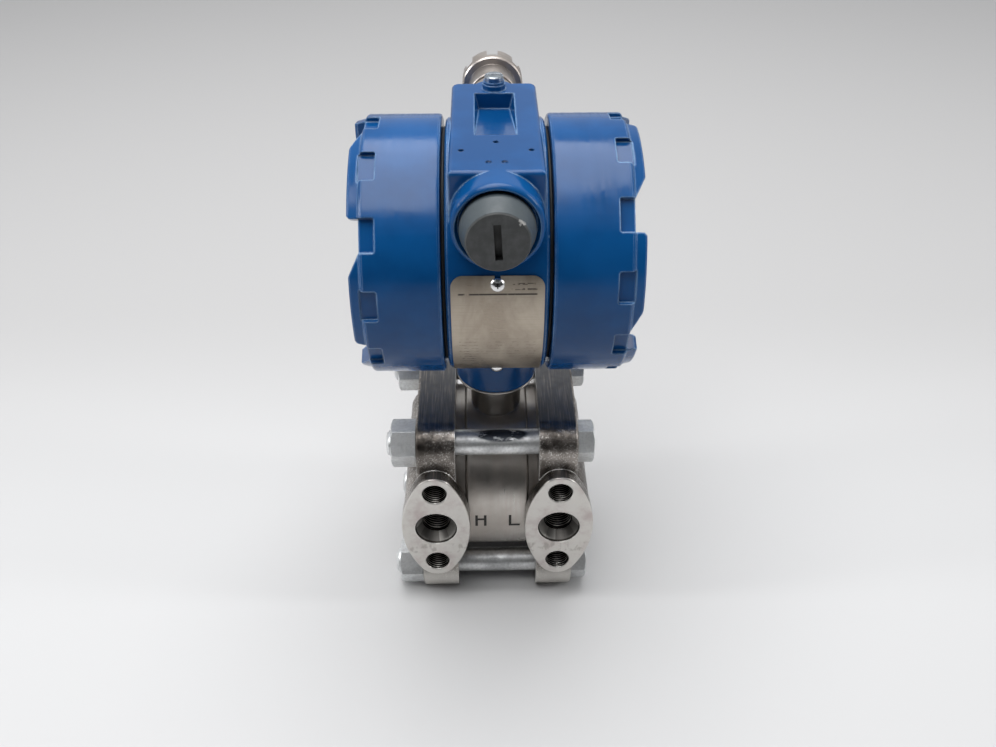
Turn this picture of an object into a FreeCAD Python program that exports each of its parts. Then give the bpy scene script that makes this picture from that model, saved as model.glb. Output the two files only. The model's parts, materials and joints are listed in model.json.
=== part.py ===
import FreeCAD, Part
import math
import os

# Differential pressure transmitter, in millimetres.
# Modelled with +Z up, X across from the high side (-X) to the low side (+X), and the
# process ports facing -Y. Z = 0 is the plane of the flange feet. Y = 0 is the middle of
# the sensor module while modelling, and save() moves it to the middle of the whole depth.

# Process flanges
port_spacing = 54.0
port_above_middle = 1.8
port_face_reach = 44.2
port_thread_radius = 6.2
port_thread_depth = 16.0
port_countersink_radius = 9.3
port_countersink_depth = 5.0
port_drill_radius = 4.2
adapter_bolt_spacing = 41.3
adapter_hole_radius = 5.2
adapter_hole_depth = 15.0
adapter_hole_chamfer = 0.4
pad_end_radius = 8.65
pad_half_width = 15.0
pad_back_gap = 0.2
pad_edge_round = 0.5
flange_thickness = 16.7
flange_bolt_spacing_y = 53.4
flange_bolt_inset = 1.1
flange_corner_radius = 11.5
flange_edge_round = 1.6
rib_radius = 14.7
rear_boss_height = 2.4
rear_boss_round = 1.2
chamber_radius = 27.0
chamber_depth = 2.0
cross_drill_radius = 2.5

# Flange bolts, heads on the low side and nuts on the high side
bolt_radius = 5.55
bolt_hole_clearance = 0.45
bolt_head_width = 15.9
bolt_head_height = 7.0
nut_width = 18.0
nut_height = 10.6
nut_fit = 0.05
bolt_end_stand_out = 2.0
bolt_end_chamfer = 1.0
nut_chamfer = 1.0
hexagon_turn = -7.0

# Drain and vent valves in the rear of the flanges
vent_thread_clearance = 0.1
vent_hex_width = 14.3
vent_hex_height = 5.5
vent_thread_length = 13.0
vent_stem_radius = 2.4
vent_stem_clearance = 0.08
vent_stem_hex_width = 7.0
vent_stem_hex_height = 5.0
vent_stem_gap = 0.4

# Sensor module
module_radius = 38.0
port_inset = 9.1
module_edge_round = 0.8
end_ring_inset = 1.3
end_ring_step = 0.3
end_ring_step_depth = 0.9
end_ring_thickness = 4.3
end_ring_bore = 27.0
diaphragm_radius = 30.0
diaphragm_thickness = 0.3
diaphragm_recess_depth = 0.5
diaphragm_fit = 0.1
corrugation_depth = 0.6
corrugation_pitch = 3.0
corrugation_inner_radius = 6.0
corrugation_count = 6
gasket_radius = 33.2
gasket_section_radius = 1.15
gasket_groove_width = 2.9
gasket_groove_depth = 2.4
cell_radius = 19.0
cell_fit = 0.05
cell_dish_depth = 0.8
cell_tube_radius = 0.8
sensing_diaphragm_thickness = 0.4
stem_radius = 11.0
stem_top_wall = 4.0
stem_lead_radius = 4.0
header_radius = 8.0
header_thickness = 4.0
header_fit = 0.05
header_pin_radius = 0.5
header_pin_circle = 5.0
header_pin_length = 6.0
header_pin_count = 6
lock_ring_radius = 17.0
lock_ring_thickness = 1.3
lock_ring_fit = 0.05
lock_ring_gap = 0.1

# Electronics housing
stem_free_length = 16.4
barrel_radius = 49.6
barrel_half_width = 18.8
barrel_edge_chamfer = 0.8
neck_radius = 17.25
neck_length = 13.8
neck_edge_round = 1.0
stem_clearance = 0.08
stem_head_room = 1.0
spigot_step = 5.0
spigot_length = 23.7
spigot_chamfer = 1.2
spigot_wall = 6.6
terminal_side_wall = 5.0
circuit_side_wall = 11.0
lead_passage_radius = 4.0
lead_passage_rise = 9.0
block_half_width = 17.0
block_front_reach = 39.0
block_rear_reach = 42.6
block_over_conduit = 16.7
block_edge_round = 1.6
block_corner_round = 3.0
conduit_rise = 33.8
boss_radius = 16.8
front_boss_reach = 49.5
back_boss_reach = 47.0
boss_edge_round = 2.2
conduit_bore_radius = 10.2
conduit_thread_depth = 11.8
conduit_stop_radius = 7.5
conduit_bore_depth = 36.0
boss_recess_radius = 15.0
boss_recess_depth = 3.0
boss_recess_floor_radius = 14.0
channel_half_width = 7.8
channel_front = -9.0
channel_end = 31.4
channel_drop = 6.6
channel_side_slant = 1.6
tag_hole_radius = 1.0
tag_hole_depth = 5.0
tag_holes = [(-12.6, -21.6), (12.6, -21.6), (0.0, -14.8)]
dimple_radius = 1.1
dimple_depth = 0.6
dimples = [(-2.8, -31.2), (2.8, -31.2)]

# Screwed covers
cover_side_wall = 5.9
cover_gap = 1.5
cover_fit = 0.5
cover_end_room = 2.3
cover_wall = 4.5
cover_edge_round = 1.1
cover_lug_height = 4.3
cover_lug_outer_radius = 49.4
cover_lug_draft = 0.9
cover_lug_width = 7.0
cover_disc_recess = 1.2
cover_pocket_count = 12
cover_pocket_length = 5.7
cover_pocket_angle = 13.9
cover_pocket_depth = 2.4
cover_pocket_round = 0.8
cover_gap_count = 6
cover_lug_chamfer = 1.1
cover_slant_length = 8.6
low_cover_phase = 41.0
high_cover_phase = 33.5
o_ring_section_radius = 0.65
o_ring_clearance = 0.25
o_ring_cover_gap = 0.05

# Conduit plug in the front boss
plug_thread_clearance = 0.1
plug_thread_length = 11.3
plug_base_radius = 13.4
plug_face_radius = 11.4
plug_head_length = 10.8
plug_base_length = 3.0
plug_slot_width = 2.6
plug_slot_length = 13.7
plug_slot_depth = 2.5
plug_slot_tilt = 3.0
plug_edge_round = 0.6
plug_seal_thickness = 1.2
plug_seal_clearance = 0.3

# Cable gland in the rear boss
gland_flange_radius = 13.5
gland_flange_thickness = 3.5
gland_flat_width = 24.0
gland_thread_length = 11.3
gland_body_radius = 10.4
gland_neck_length = 19.0
gland_seat_radius = 8.2
gland_seat_length = 12.0
gland_bore_radius = 4.6
gland_insert_radius = 7.0
gland_insert_length = 13.0
gland_insert_fit = 0.1
gland_clamp_thickness = 1.2
gland_clamp_gap = 0.3
gland_nut_fit = 0.4
gland_nut_start_gap = 3.5
gland_nut_end_room = 2.5
gland_disc_radius = 13.5
gland_disc_thickness = 3.5
gland_crown_length = 6.0
gland_crown_wall = 3.4
gland_lug_count = 7
gland_notch_angle = 21.0

# Ground screw on the top block
ground_screw_y = 36.4
ground_hub_radius = 4.6
ground_hub_height = 2.4
ground_washer_radius = 4.2
ground_washer_thickness = 1.0
ground_washer_clearance = 0.2
ground_head_radius = 3.8
ground_head_height = 2.2
ground_shank_radius = 2.5
ground_shank_length = 7.5
ground_hole_spare = 0.3
ground_slot_width = 1.2
ground_slot_depth = 1.0
ground_thread_clearance = 0.05

# Nameplate round the front of the barrel
plate_half_width = 17.0
plate_thickness = 0.5
plate_paint_gap = 0.1
plate_top_angle = 16.7
plate_bottom_angle = -52.7
plate_corner_radius = 4.5
plate_screw_inset = 3.4
plate_notch_width = 2.2
plate_screw_head_radius = 2.75
plate_screw_head_height = 1.5
plate_screw_shank_radius = 1.4
plate_screw_length = 6.0
plate_screw_clearance = 0.05

# Zero and span screws behind the nameplate
adjuster_angle = -20.0
adjuster_offset = 7.0
adjuster_head_radius = 3.4
adjuster_head_height = 3.0
adjuster_recess = 0.4
adjuster_shank_radius = 2.0
adjuster_shank_length = 8.0
adjuster_clearance = 0.08
adjuster_slot_width = 0.9
adjuster_slot_depth = 1.2

# Field terminal compartment
terminal_block_gap = 7.0
terminal_block_thickness = 9.0
terminal_rib_height = 5.0
terminal_rib_width = 2.0
terminal_rib_length = 16.0
terminal_count = 4
terminal_pitch = 10.5
terminal_row_height = -6.0
terminal_screw_radius = 3.6
terminal_screw_height = 2.6
terminal_shank_radius = 1.6
terminal_shank_length = 6.0
terminal_fit = 0.05
terminal_slot_width = 0.9
terminal_slot_depth = 1.2
block_screw_height = 22.0
block_screw_head_radius = 3.0
block_screw_head_height = 2.2
block_screw_shank_radius = 1.6
block_screw_grip = 2.8

# Electronics compartment
board_edge_gap = 4.0
board_thickness = 1.6
first_board_stand_off = 6.0
second_board_stand_off = 9.0
post_radius = 2.6
post_circle_radius = 27.0
post_count = 3
board_screw_shank_radius = 1.2
board_screw_fit = 0.2
board_screw_head_radius = 2.6
board_screw_head_height = 1.8
board_screw_grip = 4.0
transformer_size = (7.0, 12.0, 10.0)
transformer_place = (10.0, 6.0)
capacitor_radius = 3.5
capacitor_height = 8.0
capacitor_places = [(-12.0, 8.0), (-12.0, -4.0), (-3.0, -14.0)]
chip_size = (2.0, 12.0, 6.0)
chip_places = [(4.0, -10.0), (-8.0, -16.0), (6.0, 14.0)]

# Sizes that follow from the driving ones
half_port_spacing = port_spacing / 2
flange_inner = half_port_spacing - port_inset
module_half_thickness = flange_inner - end_ring_thickness
end_ring_radius = module_radius - end_ring_inset
flange_outer = flange_inner + flange_thickness
flange_bolt_spacing_z = 2 * (module_radius - flange_bolt_inset)
flange_half_depth = flange_bolt_spacing_y / 2 + flange_corner_radius
flange_height = flange_bolt_spacing_z + 2 * flange_corner_radius
rear_boss_reach = flange_half_depth + rear_boss_height
port_height = flange_height / 2 + port_above_middle
pad_back_reach = module_radius + pad_back_gap
pad_thickness = port_face_reach - pad_back_reach
bolt_hole_radius = bolt_radius + bolt_hole_clearance
spigot_radius = barrel_radius - spigot_step
compartment_radius = spigot_radius - spigot_wall
board_radius = compartment_radius - board_edge_gap
terminal_block_radius = compartment_radius - terminal_block_gap
neck_bottom_height = port_height + module_radius + stem_free_length
housing_height = neck_bottom_height + neck_length + barrel_radius
stem_top_height = housing_height - compartment_radius - stem_top_wall
conduit_height = housing_height + conduit_rise
block_top_height = conduit_height + block_over_conduit
spigot_reach = barrel_half_width + spigot_length
cover_inner_radius = spigot_radius + cover_fit
cover_radius = cover_inner_radius + cover_side_wall
cover_rim = barrel_half_width + cover_gap
cover_end_inside = spigot_reach + cover_end_room
cover_face = cover_end_inside + cover_wall
plug_seat_reach = front_boss_reach - boss_recess_depth + plug_seal_thickness
plug_reach = plug_seat_reach + plug_head_length
gland_body_reach = back_boss_reach + gland_neck_length
gland_seat_reach = gland_body_reach + gland_seat_length
gland_disc_front = gland_seat_reach + gland_nut_end_room
gland_disc_back = gland_disc_front + gland_disc_thickness
gland_crown_reach = gland_disc_back + gland_crown_length
centre_y = (gland_crown_reach - plug_reach) / 2


def vec(x, y, z):
    return FreeCAD.Vector(x, y, z)


def cylinder_x(radius, x_from, x_to, y=0.0, z=0.0):
    return Part.makeCylinder(radius, x_to - x_from, vec(x_from, y, z), vec(1, 0, 0))


def cylinder_y(radius, y_from, y_to, x=0.0, z=0.0):
    return Part.makeCylinder(radius, y_to - y_from, vec(x, y_from, z), vec(0, 1, 0))


def cylinder_z(radius, z_from, z_to, x=0.0, y=0.0):
    return Part.makeCylinder(radius, z_to - z_from, vec(x, y, z_from), vec(0, 0, 1))


def block(x_from, x_to, y_from, y_to, z_from, z_to):
    return Part.makeBox(x_to - x_from, y_to - y_from, z_to - z_from, vec(x_from, y_from, z_from))


def revolve_x(profile, z=0.0):
    """Turn (x, radius) points about the X axis at height z."""
    points = [vec(x, 0, r) for x, r in profile]
    face = Part.Face(Part.makePolygon(points + points[:1]))
    return face.revolve(vec(0, 0, 0), vec(1, 0, 0), 360).translated(vec(0, 0, z))


def revolve_y(profile, x=0.0, z=0.0):
    """Turn (y, radius) points about the Y axis at place x, z."""
    points = [vec(0, y, r) for y, r in profile]
    face = Part.Face(Part.makePolygon(points + points[:1]))
    return face.revolve(vec(0, 0, 0), vec(0, 1, 0), 360).translated(vec(x, 0, z))


def revolve_z(profile, x=0.0, y=0.0):
    """Turn (z, radius) points about the Z axis at place x, y."""
    points = [vec(r, 0, z) for z, r in profile]
    face = Part.Face(Part.makePolygon(points + points[:1]))
    return face.revolve(vec(0, 0, 0), vec(0, 0, 1), 360).translated(vec(x, y, 0))


def torus_x(ring_radius, section_radius, x, z):
    return Part.makeTorus(ring_radius, section_radius, vec(x, 0, z), vec(1, 0, 0))


def hexagon_x(width, x_from, x_to):
    """A hexagonal prism on the X axis, with flats towards +Z and -Z."""
    corner = width / math.sqrt(3)
    points = []
    for step in range(6):
        turn = math.radians(60 * step)
        points.append(vec(x_from, corner * math.cos(turn), corner * math.sin(turn)))
    face = Part.Face(Part.makePolygon(points + points[:1]))
    return face.extrude(vec(x_to - x_from, 0, 0))


def chamfered_hexagon_x(width, x_from, x_to, chamfer, at_end):
    """A hexagonal prism whose corners are turned off at its x_to end, or at its x_from end."""
    corner = width / math.sqrt(3)
    inner = width / 2
    slope = (corner + chamfer - inner) * 0.5
    if at_end:
        turned = [(x_from, 0), (x_from, corner + chamfer), (x_to - slope, corner + chamfer)]
        turned += [(x_to, inner), (x_to, 0)]
    else:
        turned = [(x_to, 0), (x_to, corner + chamfer), (x_from + slope, corner + chamfer)]
        turned += [(x_from, inner), (x_from, 0)]
    return hexagon_x(width, x_from, x_to).common(revolve_x(turned))


def x_to_y(shape):
    """Turn a shape made along +X so that it lies along +Y."""
    turned = shape.copy()
    turned.rotate(vec(0, 0, 0), vec(0, 0, 1), 90)
    return turned


def mirrored(shape, side):
    """The low side's shape as it is, and mirrored in X for the high side."""
    if side > 0:
        return shape
    return shape.mirror(vec(0, 0, 0), vec(1, 0, 0))


def turned_about(shape, axis, degrees, centre=None):
    copy = shape.copy()
    copy.rotate(centre or vec(0, 0, 0), axis, degrees)
    return copy


def rounded(shape, radius, wanted):
    """Round the edges for which wanted(edge) is true."""
    edges = [edge for edge in shape.Edges if wanted(edge)]
    return shape.makeFillet(radius, edges)


def lies_at(edge, axis, value):
    """True for an edge whose ends and middle have this coordinate along the axis."""
    low = getattr(edge.BoundBox, axis + "Min")
    high = getattr(edge.BoundBox, axis + "Max")
    return abs(low - value) < 0.01 and abs(high - value) < 0.01


def save(node, shape):
    placed = shape.translated(vec(0, -centre_y, 0))
    placed.exportStep("parts/" + node + ".step")
    print(node, round(placed.Volume), len(placed.Solids))


# ---- process flanges ----


def almond_pad():
    """The pad that a flange adapter bolts to: two end arcs joined by tangent side arcs."""
    half_height = adapter_bolt_spacing / 2
    rise = pad_half_width ** 2 + half_height ** 2 - pad_end_radius ** 2
    side_radius = rise / (2 * (pad_half_width - pad_end_radius))
    centre_offset = side_radius - pad_half_width
    share = pad_end_radius / (side_radius - pad_end_radius)
    touch_x = centre_offset * share
    touch_z = half_height + half_height * share
    y = -port_face_reach

    def at(x, z):
        return vec(half_port_spacing + x, y, port_height + z)

    top = half_height + pad_end_radius
    edges = [
        Part.Arc(at(-touch_x, touch_z), at(0, top), at(touch_x, touch_z)).toShape(),
        Part.Arc(at(touch_x, touch_z), at(pad_half_width, 0), at(touch_x, -touch_z)).toShape(),
        Part.Arc(at(touch_x, -touch_z), at(0, -top), at(-touch_x, -touch_z)).toShape(),
        Part.Arc(at(-touch_x, -touch_z), at(-pad_half_width, 0), at(-touch_x, touch_z)).toShape(),
    ]
    pad = Part.Face(Part.Wire(edges)).extrude(vec(0, pad_thickness, 0))
    return rounded(pad, pad_edge_round, lambda edge: lies_at(edge, "Y", y))


def flange_plate():
    """The plate, with corners concentric with the flange bolts."""
    plate = block(
        flange_inner, flange_outer, -flange_half_depth, flange_half_depth, 0, flange_height
    )

    def is_corner(edge):
        box = edge.BoundBox
        return box.XLength > flange_thickness * 0.9

    plate = rounded(plate, flange_corner_radius, is_corner)
    return rounded(plate, flange_edge_round, lambda edge: lies_at(edge, "X", flange_outer))


def flange_bolt_places():
    """(y, z) of the four flange bolts."""
    low = flange_corner_radius
    high = flange_corner_radius + flange_bolt_spacing_z
    half = flange_bolt_spacing_y / 2
    return [(-half, low), (half, low), (-half, high), (half, high)]


def port_tools():
    """Port hole, countersink, adapter bolt holes and the drilling to the chamber."""
    x = half_port_spacing
    z = port_height
    face = -port_face_reach
    bottom = face + port_thread_depth
    cross_y = bottom + port_drill_radius + cross_drill_radius
    drill_end = cross_y + cross_drill_radius + 1
    sink = port_countersink_depth
    mouth = port_countersink_radius
    spare = (mouth - port_thread_radius) / sink
    tools = [
        cylinder_y(port_thread_radius, face - 1, bottom, x, z),
        revolve_y(
            [
                (face - 1, 0),
                (face - 1, mouth + spare),
                (face + sink, port_thread_radius),
                (face + sink, 0),
            ],
            x,
            z,
        ),
        cylinder_y(port_drill_radius, bottom - 1, drill_end, x, z),
        cylinder_x(cross_drill_radius, flange_inner - 1, x, cross_y, z),
    ]
    for offset in (-adapter_bolt_spacing / 2, adapter_bolt_spacing / 2):
        hole_z = z + offset
        outer = adapter_hole_radius + adapter_hole_chamfer
        tools.append(
            cylinder_y(adapter_hole_radius, face - 1, face + adapter_hole_depth, x, hole_z)
        )
        tools.append(
            revolve_y(
                [
                    (face - 1, 0),
                    (face - 1, outer + 1),
                    (face + adapter_hole_chamfer, adapter_hole_radius),
                    (face + adapter_hole_chamfer, 0),
                ],
                x,
                hole_z,
            )
        )
    return tools


def vent_tools():
    """Threaded hole for the vent valve and its drilling to the chamber."""
    x = half_port_spacing
    z = port_height
    bottom = rear_boss_reach - vent_thread_length - 1
    drill_end = bottom - port_drill_radius
    return [
        cylinder_y(port_thread_radius, bottom, rear_boss_reach + 1, x, z),
        cylinder_y(vent_stem_radius + 0.6, drill_end - 2, bottom + 1, x, z),
        cylinder_x(cross_drill_radius, flange_inner - 1, x, drill_end, z),
    ]


def flange(side):
    rib = cylinder_y(rib_radius, -pad_back_reach, rear_boss_reach, half_port_spacing, port_height)
    rib = rounded(rib, rear_boss_round, lambda edge: lies_at(edge, "Y", rear_boss_reach))
    keep = block(
        flange_inner,
        half_port_spacing + 2 * rib_radius,
        -port_face_reach,
        rear_boss_reach,
        port_height - 2 * rib_radius,
        port_height + 2 * rib_radius,
    )
    body = flange_plate().fuse([rib.common(keep), almond_pad()])
    tools = port_tools() + vent_tools()
    for y, z in flange_bolt_places():
        tools.append(cylinder_x(bolt_hole_radius, flange_inner - 1, flange_outer + 1, y, z))
    tools.append(
        cylinder_x(chamber_radius, flange_inner - 1, flange_inner + chamber_depth, 0, port_height)
    )
    groove_inner = gasket_radius - gasket_groove_width / 2
    groove_outer = gasket_radius + gasket_groove_width / 2
    groove = cylinder_x(
        groove_outer, flange_inner - 1, flange_inner + gasket_groove_depth, 0, port_height
    )
    groove = groove.cut(
        cylinder_x(
            groove_inner, flange_inner - 2, flange_inner + gasket_groove_depth + 1, 0, port_height
        )
    )
    tools.append(groove)
    return mirrored(body.cut(tools).removeSplitter(), side)


def hexagon_turned(shape):
    """Turn a bolt or nut about its own axis to the angle at which all were tightened."""
    return turned_about(shape, vec(1, 0, 0), hexagon_turn)


def flange_bolt():
    """One bolt along X: head on the low side, chamfered end on the high side."""
    end = -(flange_outer + nut_height + bolt_end_stand_out)
    profile = [
        (flange_outer, 0),
        (flange_outer, bolt_radius),
        (end + bolt_end_chamfer, bolt_radius),
        (end, bolt_radius - bolt_end_chamfer),
        (end, 0),
    ]
    head = chamfered_hexagon_x(
        bolt_head_width, flange_outer, flange_outer + bolt_head_height, 0.5, True
    )
    return hexagon_turned(revolve_x(profile).fuse(head).removeSplitter())


def flange_nut():
    far = -(flange_outer + nut_height)
    body = chamfered_hexagon_x(nut_width, far, -flange_outer, nut_chamfer, False)
    bore = cylinder_x(bolt_radius + nut_fit, far - 1, -flange_outer + 1)
    return hexagon_turned(body.cut(bore))


def at_flange_bolts(shape):
    places = flange_bolt_places()
    return Part.makeCompound([shape.translated(vec(0, y, z)) for y, z in places])


def vent_seat(side):
    """Hexagonal valve seat screwed into the rear of the flange."""
    face = rear_boss_reach
    thread = port_thread_radius - vent_thread_clearance
    seat = x_to_y(chamfered_hexagon_x(vent_hex_width, face, face + vent_hex_height, 0.5, True))
    seat = seat.fuse(cylinder_y(thread, face - vent_thread_length, face + 0.5))
    bore = vent_stem_radius + vent_stem_clearance
    seat = seat.cut(cylinder_y(bore, face - vent_thread_length - 1, face + vent_hex_height + 1))
    seat = seat.removeSplitter().translated(vec(half_port_spacing, 0, port_height))
    return mirrored(seat, side)


def vent_stem(side):
    """Valve stem with a coned tip and a small hexagon."""
    face = rear_boss_reach + vent_hex_height
    tip = rear_boss_reach - vent_thread_length - 2
    hex_from = face + vent_stem_gap
    hex_to = hex_from + vent_stem_hex_height
    shank = revolve_y(
        [
            (tip, 0),
            (tip + vent_stem_radius, vent_stem_radius),
            (hex_from + 0.5, vent_stem_radius),
            (hex_from + 0.5, 0),
        ]
    )
    head = x_to_y(chamfered_hexagon_x(vent_stem_hex_width, hex_from, hex_to, 0.4, True))
    stem = shank.fuse(head).removeSplitter().translated(vec(half_port_spacing, 0, port_height))
    return mirrored(stem, side)


# ---- sensor module ----


def module_body():
    """Welded disc with the sensor stem, bored for the cell and the lead wires."""
    disc = cylinder_x(module_radius, -module_half_thickness, module_half_thickness, 0, port_height)

    def is_rim(edge):
        at_end = lies_at(edge, "X", module_half_thickness)
        return at_end or lies_at(edge, "X", -module_half_thickness)

    disc = rounded(disc, module_edge_round, is_rim)
    stem = cylinder_z(stem_radius, port_height + cell_radius, stem_top_height)
    body = disc.fuse(stem)
    reach = module_half_thickness + 1
    cell_bore = cylinder_x(cell_radius + cell_fit, -reach, reach, 0, port_height)
    lead_bore = cylinder_z(stem_lead_radius, port_height, stem_top_height + 1)
    pocket = cylinder_z(
        header_radius + header_fit, stem_top_height - header_thickness, stem_top_height + 1
    )
    return body.cut([cell_bore, lead_bore, pocket]).removeSplitter()


def cell_half(side):
    """Half of the sensing cell, dished towards the middle diaphragm."""
    inner = sensing_diaphragm_thickness / 2
    half = cylinder_x(cell_radius, inner, module_half_thickness)
    dish_radius = cell_radius * 0.75
    ball_radius = (dish_radius ** 2 + cell_dish_depth ** 2) / (2 * cell_dish_depth)
    ball = Part.makeSphere(ball_radius, vec(inner + cell_dish_depth - ball_radius, 0, 0))
    tube = cylinder_x(cell_tube_radius, inner - 1, module_half_thickness + 1)
    half = half.cut([ball, tube]).translated(vec(0, 0, port_height))
    return mirrored(half, side)


def sensing_diaphragm():
    half = sensing_diaphragm_thickness / 2
    return cylinder_x(cell_radius, -half, half, 0, port_height)


def end_ring(side):
    """Weld ring on the face of the module, with a seat for the isolating diaphragm."""
    inner = module_half_thickness
    outer = flange_inner
    seat = diaphragm_radius + diaphragm_fit
    profile = [
        (inner, end_ring_bore),
        (inner, end_ring_radius - end_ring_step_depth),
        (inner + end_ring_step, end_ring_radius - end_ring_step_depth),
        (inner + end_ring_step, end_ring_radius),
        (outer, end_ring_radius),
        (outer, seat),
        (outer - diaphragm_recess_depth, seat),
        (outer - diaphragm_recess_depth, end_ring_bore),
    ]
    return mirrored(revolve_x(profile, port_height), side)


def isolating_diaphragm(side):
    """Thin disc with concentric corrugations, lying in the end ring."""
    seat = flange_inner - diaphragm_recess_depth
    front = []
    radius = corrugation_inner_radius
    front.append((seat, 0.0))
    front.append((seat, radius))
    for step in range(corrugation_count):
        low = step % 2 == 0
        radius += corrugation_pitch / 2
        front.append((seat - corrugation_depth if low else seat, radius))
        radius += corrugation_pitch / 2
        front.append((seat - corrugation_depth if low else seat, radius))
    front.append((seat, radius + corrugation_pitch / 2))
    front.append((seat, diaphragm_radius))
    back = [(x + diaphragm_thickness, r) for x, r in reversed(front)]
    return mirrored(revolve_x(front + back, port_height), side)


def process_gasket(side):
    ring = torus_x(
        gasket_radius, gasket_section_radius, flange_inner + gasket_groove_depth / 2, port_height
    )
    return mirrored(ring, side)


def sensor_header():
    """Sealed disc with pins at the top of the sensor stem."""
    bottom = stem_top_height - header_thickness
    disc = cylinder_z(header_radius, bottom, stem_top_height)
    pins = []
    for step in range(header_pin_count):
        turn = 2 * math.pi * step / header_pin_count
        x = header_pin_circle * math.cos(turn) * 0.6
        y = header_pin_circle * math.sin(turn) * 0.6
        top = stem_top_height + stem_head_room + header_pin_length
        pins.append(cylinder_z(header_pin_radius, bottom + 1, top, x, y))
    return disc.fuse(pins).removeSplitter()


def lock_ring():
    """Ring that locks the housing's direction on the stem."""
    top = neck_bottom_height - lock_ring_gap
    ring = cylinder_z(lock_ring_radius, top - lock_ring_thickness, top)
    ring = rounded(ring, 0.5, lambda edge: edge.Length > lock_ring_radius * 6)
    return ring.cut(cylinder_z(stem_radius + lock_ring_fit, 0, top + 1))


# ---- electronics housing ----


def on_barrel(shape, degrees):
    """Turn a shape made along -Y at the barrel's axis up by degrees, and lift it there."""
    turned = turned_about(shape, vec(1, 0, 0), -degrees)
    return turned.translated(vec(0, 0, housing_height))


def barrel():
    """Middle of the housing with a threaded spigot at each end, as one turned form."""
    edge = barrel_edge_chamfer
    half = barrel_half_width
    end = spigot_chamfer
    quarter = [
        (half - edge, barrel_radius),
        (half, barrel_radius - edge),
        (half, spigot_radius),
        (spigot_reach - end, spigot_radius),
        (spigot_reach, spigot_radius - end),
        (spigot_reach, 0),
    ]
    profile = [(-x, r) for x, r in reversed(quarter)] + quarter
    return revolve_x(profile, housing_height)


def top_block():
    """Raised top, run down into the barrel, with lightly rounded upper edges."""
    shape = block(
        -block_half_width,
        block_half_width,
        -block_front_reach,
        block_rear_reach,
        housing_height,
        block_top_height,
    )

    def is_rear_corner(edge):
        upright = edge.BoundBox.ZLength > block_corner_round
        return upright and lies_at(edge, "Y", block_rear_reach)

    shape = rounded(shape, block_corner_round, is_rear_corner)
    return rounded(shape, block_edge_round, lambda edge: lies_at(edge, "Z", block_top_height))


def boss_end(direction):
    """Y of the rim of the front boss (-1) or of the back boss (1)."""
    return -front_boss_reach if direction < 0 else back_boss_reach


def conduit_boss(direction):
    """A boss along Y with a rounded rim."""
    end = boss_end(direction)
    boss = cylinder_y(boss_radius, min(0, end), max(0, end), 0, conduit_height)
    return rounded(boss, boss_edge_round, lambda edge: lies_at(edge, "Y", end))


def conduit_tools(direction):
    """Thread bore and coned recess of one boss."""
    rim = abs(boss_end(direction))
    tool = revolve_y(
        [
            (rim + 1, 0),
            (rim + 1, boss_recess_radius),
            (rim, boss_recess_radius),
            (rim - boss_recess_depth, boss_recess_floor_radius),
            (rim - boss_recess_depth, conduit_bore_radius),
            (rim - conduit_thread_depth - boss_recess_depth, conduit_bore_radius),
            (rim - conduit_thread_depth - boss_recess_depth, conduit_stop_radius),
            (rim - conduit_bore_depth, conduit_stop_radius),
            (rim - conduit_bore_depth, 0),
        ]
    )
    if direction < 0:
        tool = turned_about(tool, vec(0, 0, 1), 180)
    return tool.translated(vec(0, 0, conduit_height))


def channel_tool():
    """Channel with slanted sides that slopes down to the upright face under the ground screw."""
    floor = block_top_height - channel_drop
    above = block_top_height + channel_drop
    wide = channel_half_width + channel_side_slant
    narrow = channel_half_width - channel_side_slant
    points = [
        vec(-wide, channel_front, block_top_height),
        vec(-wide, channel_end, floor),
        vec(-wide, channel_end, above),
        vec(-wide, channel_front, above),
    ]
    wedge = Part.Face(Part.makePolygon(points + points[:1])).extrude(vec(2 * wide, 0, 0))
    corners = [
        vec(-wide, channel_front, above),
        vec(wide, channel_front, above),
        vec(narrow, channel_front, floor),
        vec(-narrow, channel_front, floor),
    ]
    length = channel_end - channel_front
    trough = Part.Face(Part.makePolygon(corners + corners[:1])).extrude(vec(0, length, 0))
    return wedge.common(trough)


def compartment_tools():
    """Terminal and circuit compartments, and the way for the sensor leads."""
    z = housing_height
    lead_top = stem_top_height + lead_passage_rise
    tools = [
        cylinder_x(compartment_radius, -spigot_reach - 1, -terminal_side_wall, 0, z),
        cylinder_x(compartment_radius, circuit_side_wall, spigot_reach + 1, 0, z),
        cylinder_z(lead_passage_radius, stem_top_height, lead_top),
        cylinder_x(lead_passage_radius, 0, circuit_side_wall + 1, 0, lead_top - lead_passage_radius),
    ]
    return tools


def fastener_tools():
    """Drilled holes for the screws that the housing carries."""
    top = block_top_height
    ground_seat = top + ground_hub_height + ground_washer_thickness
    tools = [
        cylinder_z(
            ground_shank_radius + ground_thread_clearance,
            ground_seat - ground_shank_length - ground_hole_spare,
            ground_seat,
            0,
            ground_screw_y,
        )
    ]
    for x, y in tag_holes:
        tools.append(cylinder_z(tag_hole_radius, top - tag_hole_depth, top + 1, x, y))
    for x, y in dimples:
        tools.append(cylinder_z(dimple_radius, top - dimple_depth, top + 1, x, y))
    for angle in plate_screw_angles():
        hole = cylinder_y(
            plate_screw_shank_radius + plate_screw_clearance,
            -barrel_radius - 1,
            -barrel_radius + plate_screw_length,
        )
        tools.append(on_barrel(hole, angle))
    for x in (-adjuster_offset, adjuster_offset):
        tools.append(adjuster_bore(x))
    for z in (-block_screw_height, block_screw_height):
        tools.append(
            cylinder_x(
                block_screw_shank_radius,
                -terminal_side_wall - 1,
                -terminal_side_wall + block_screw_grip,
                0,
                housing_height + z,
            )
        )
    for y, z in post_places():
        tools.append(
            cylinder_x(
                board_screw_shank_radius,
                circuit_side_wall - board_screw_grip,
                circuit_side_wall + 1,
                y,
                z,
            )
        )
    return tools


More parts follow.
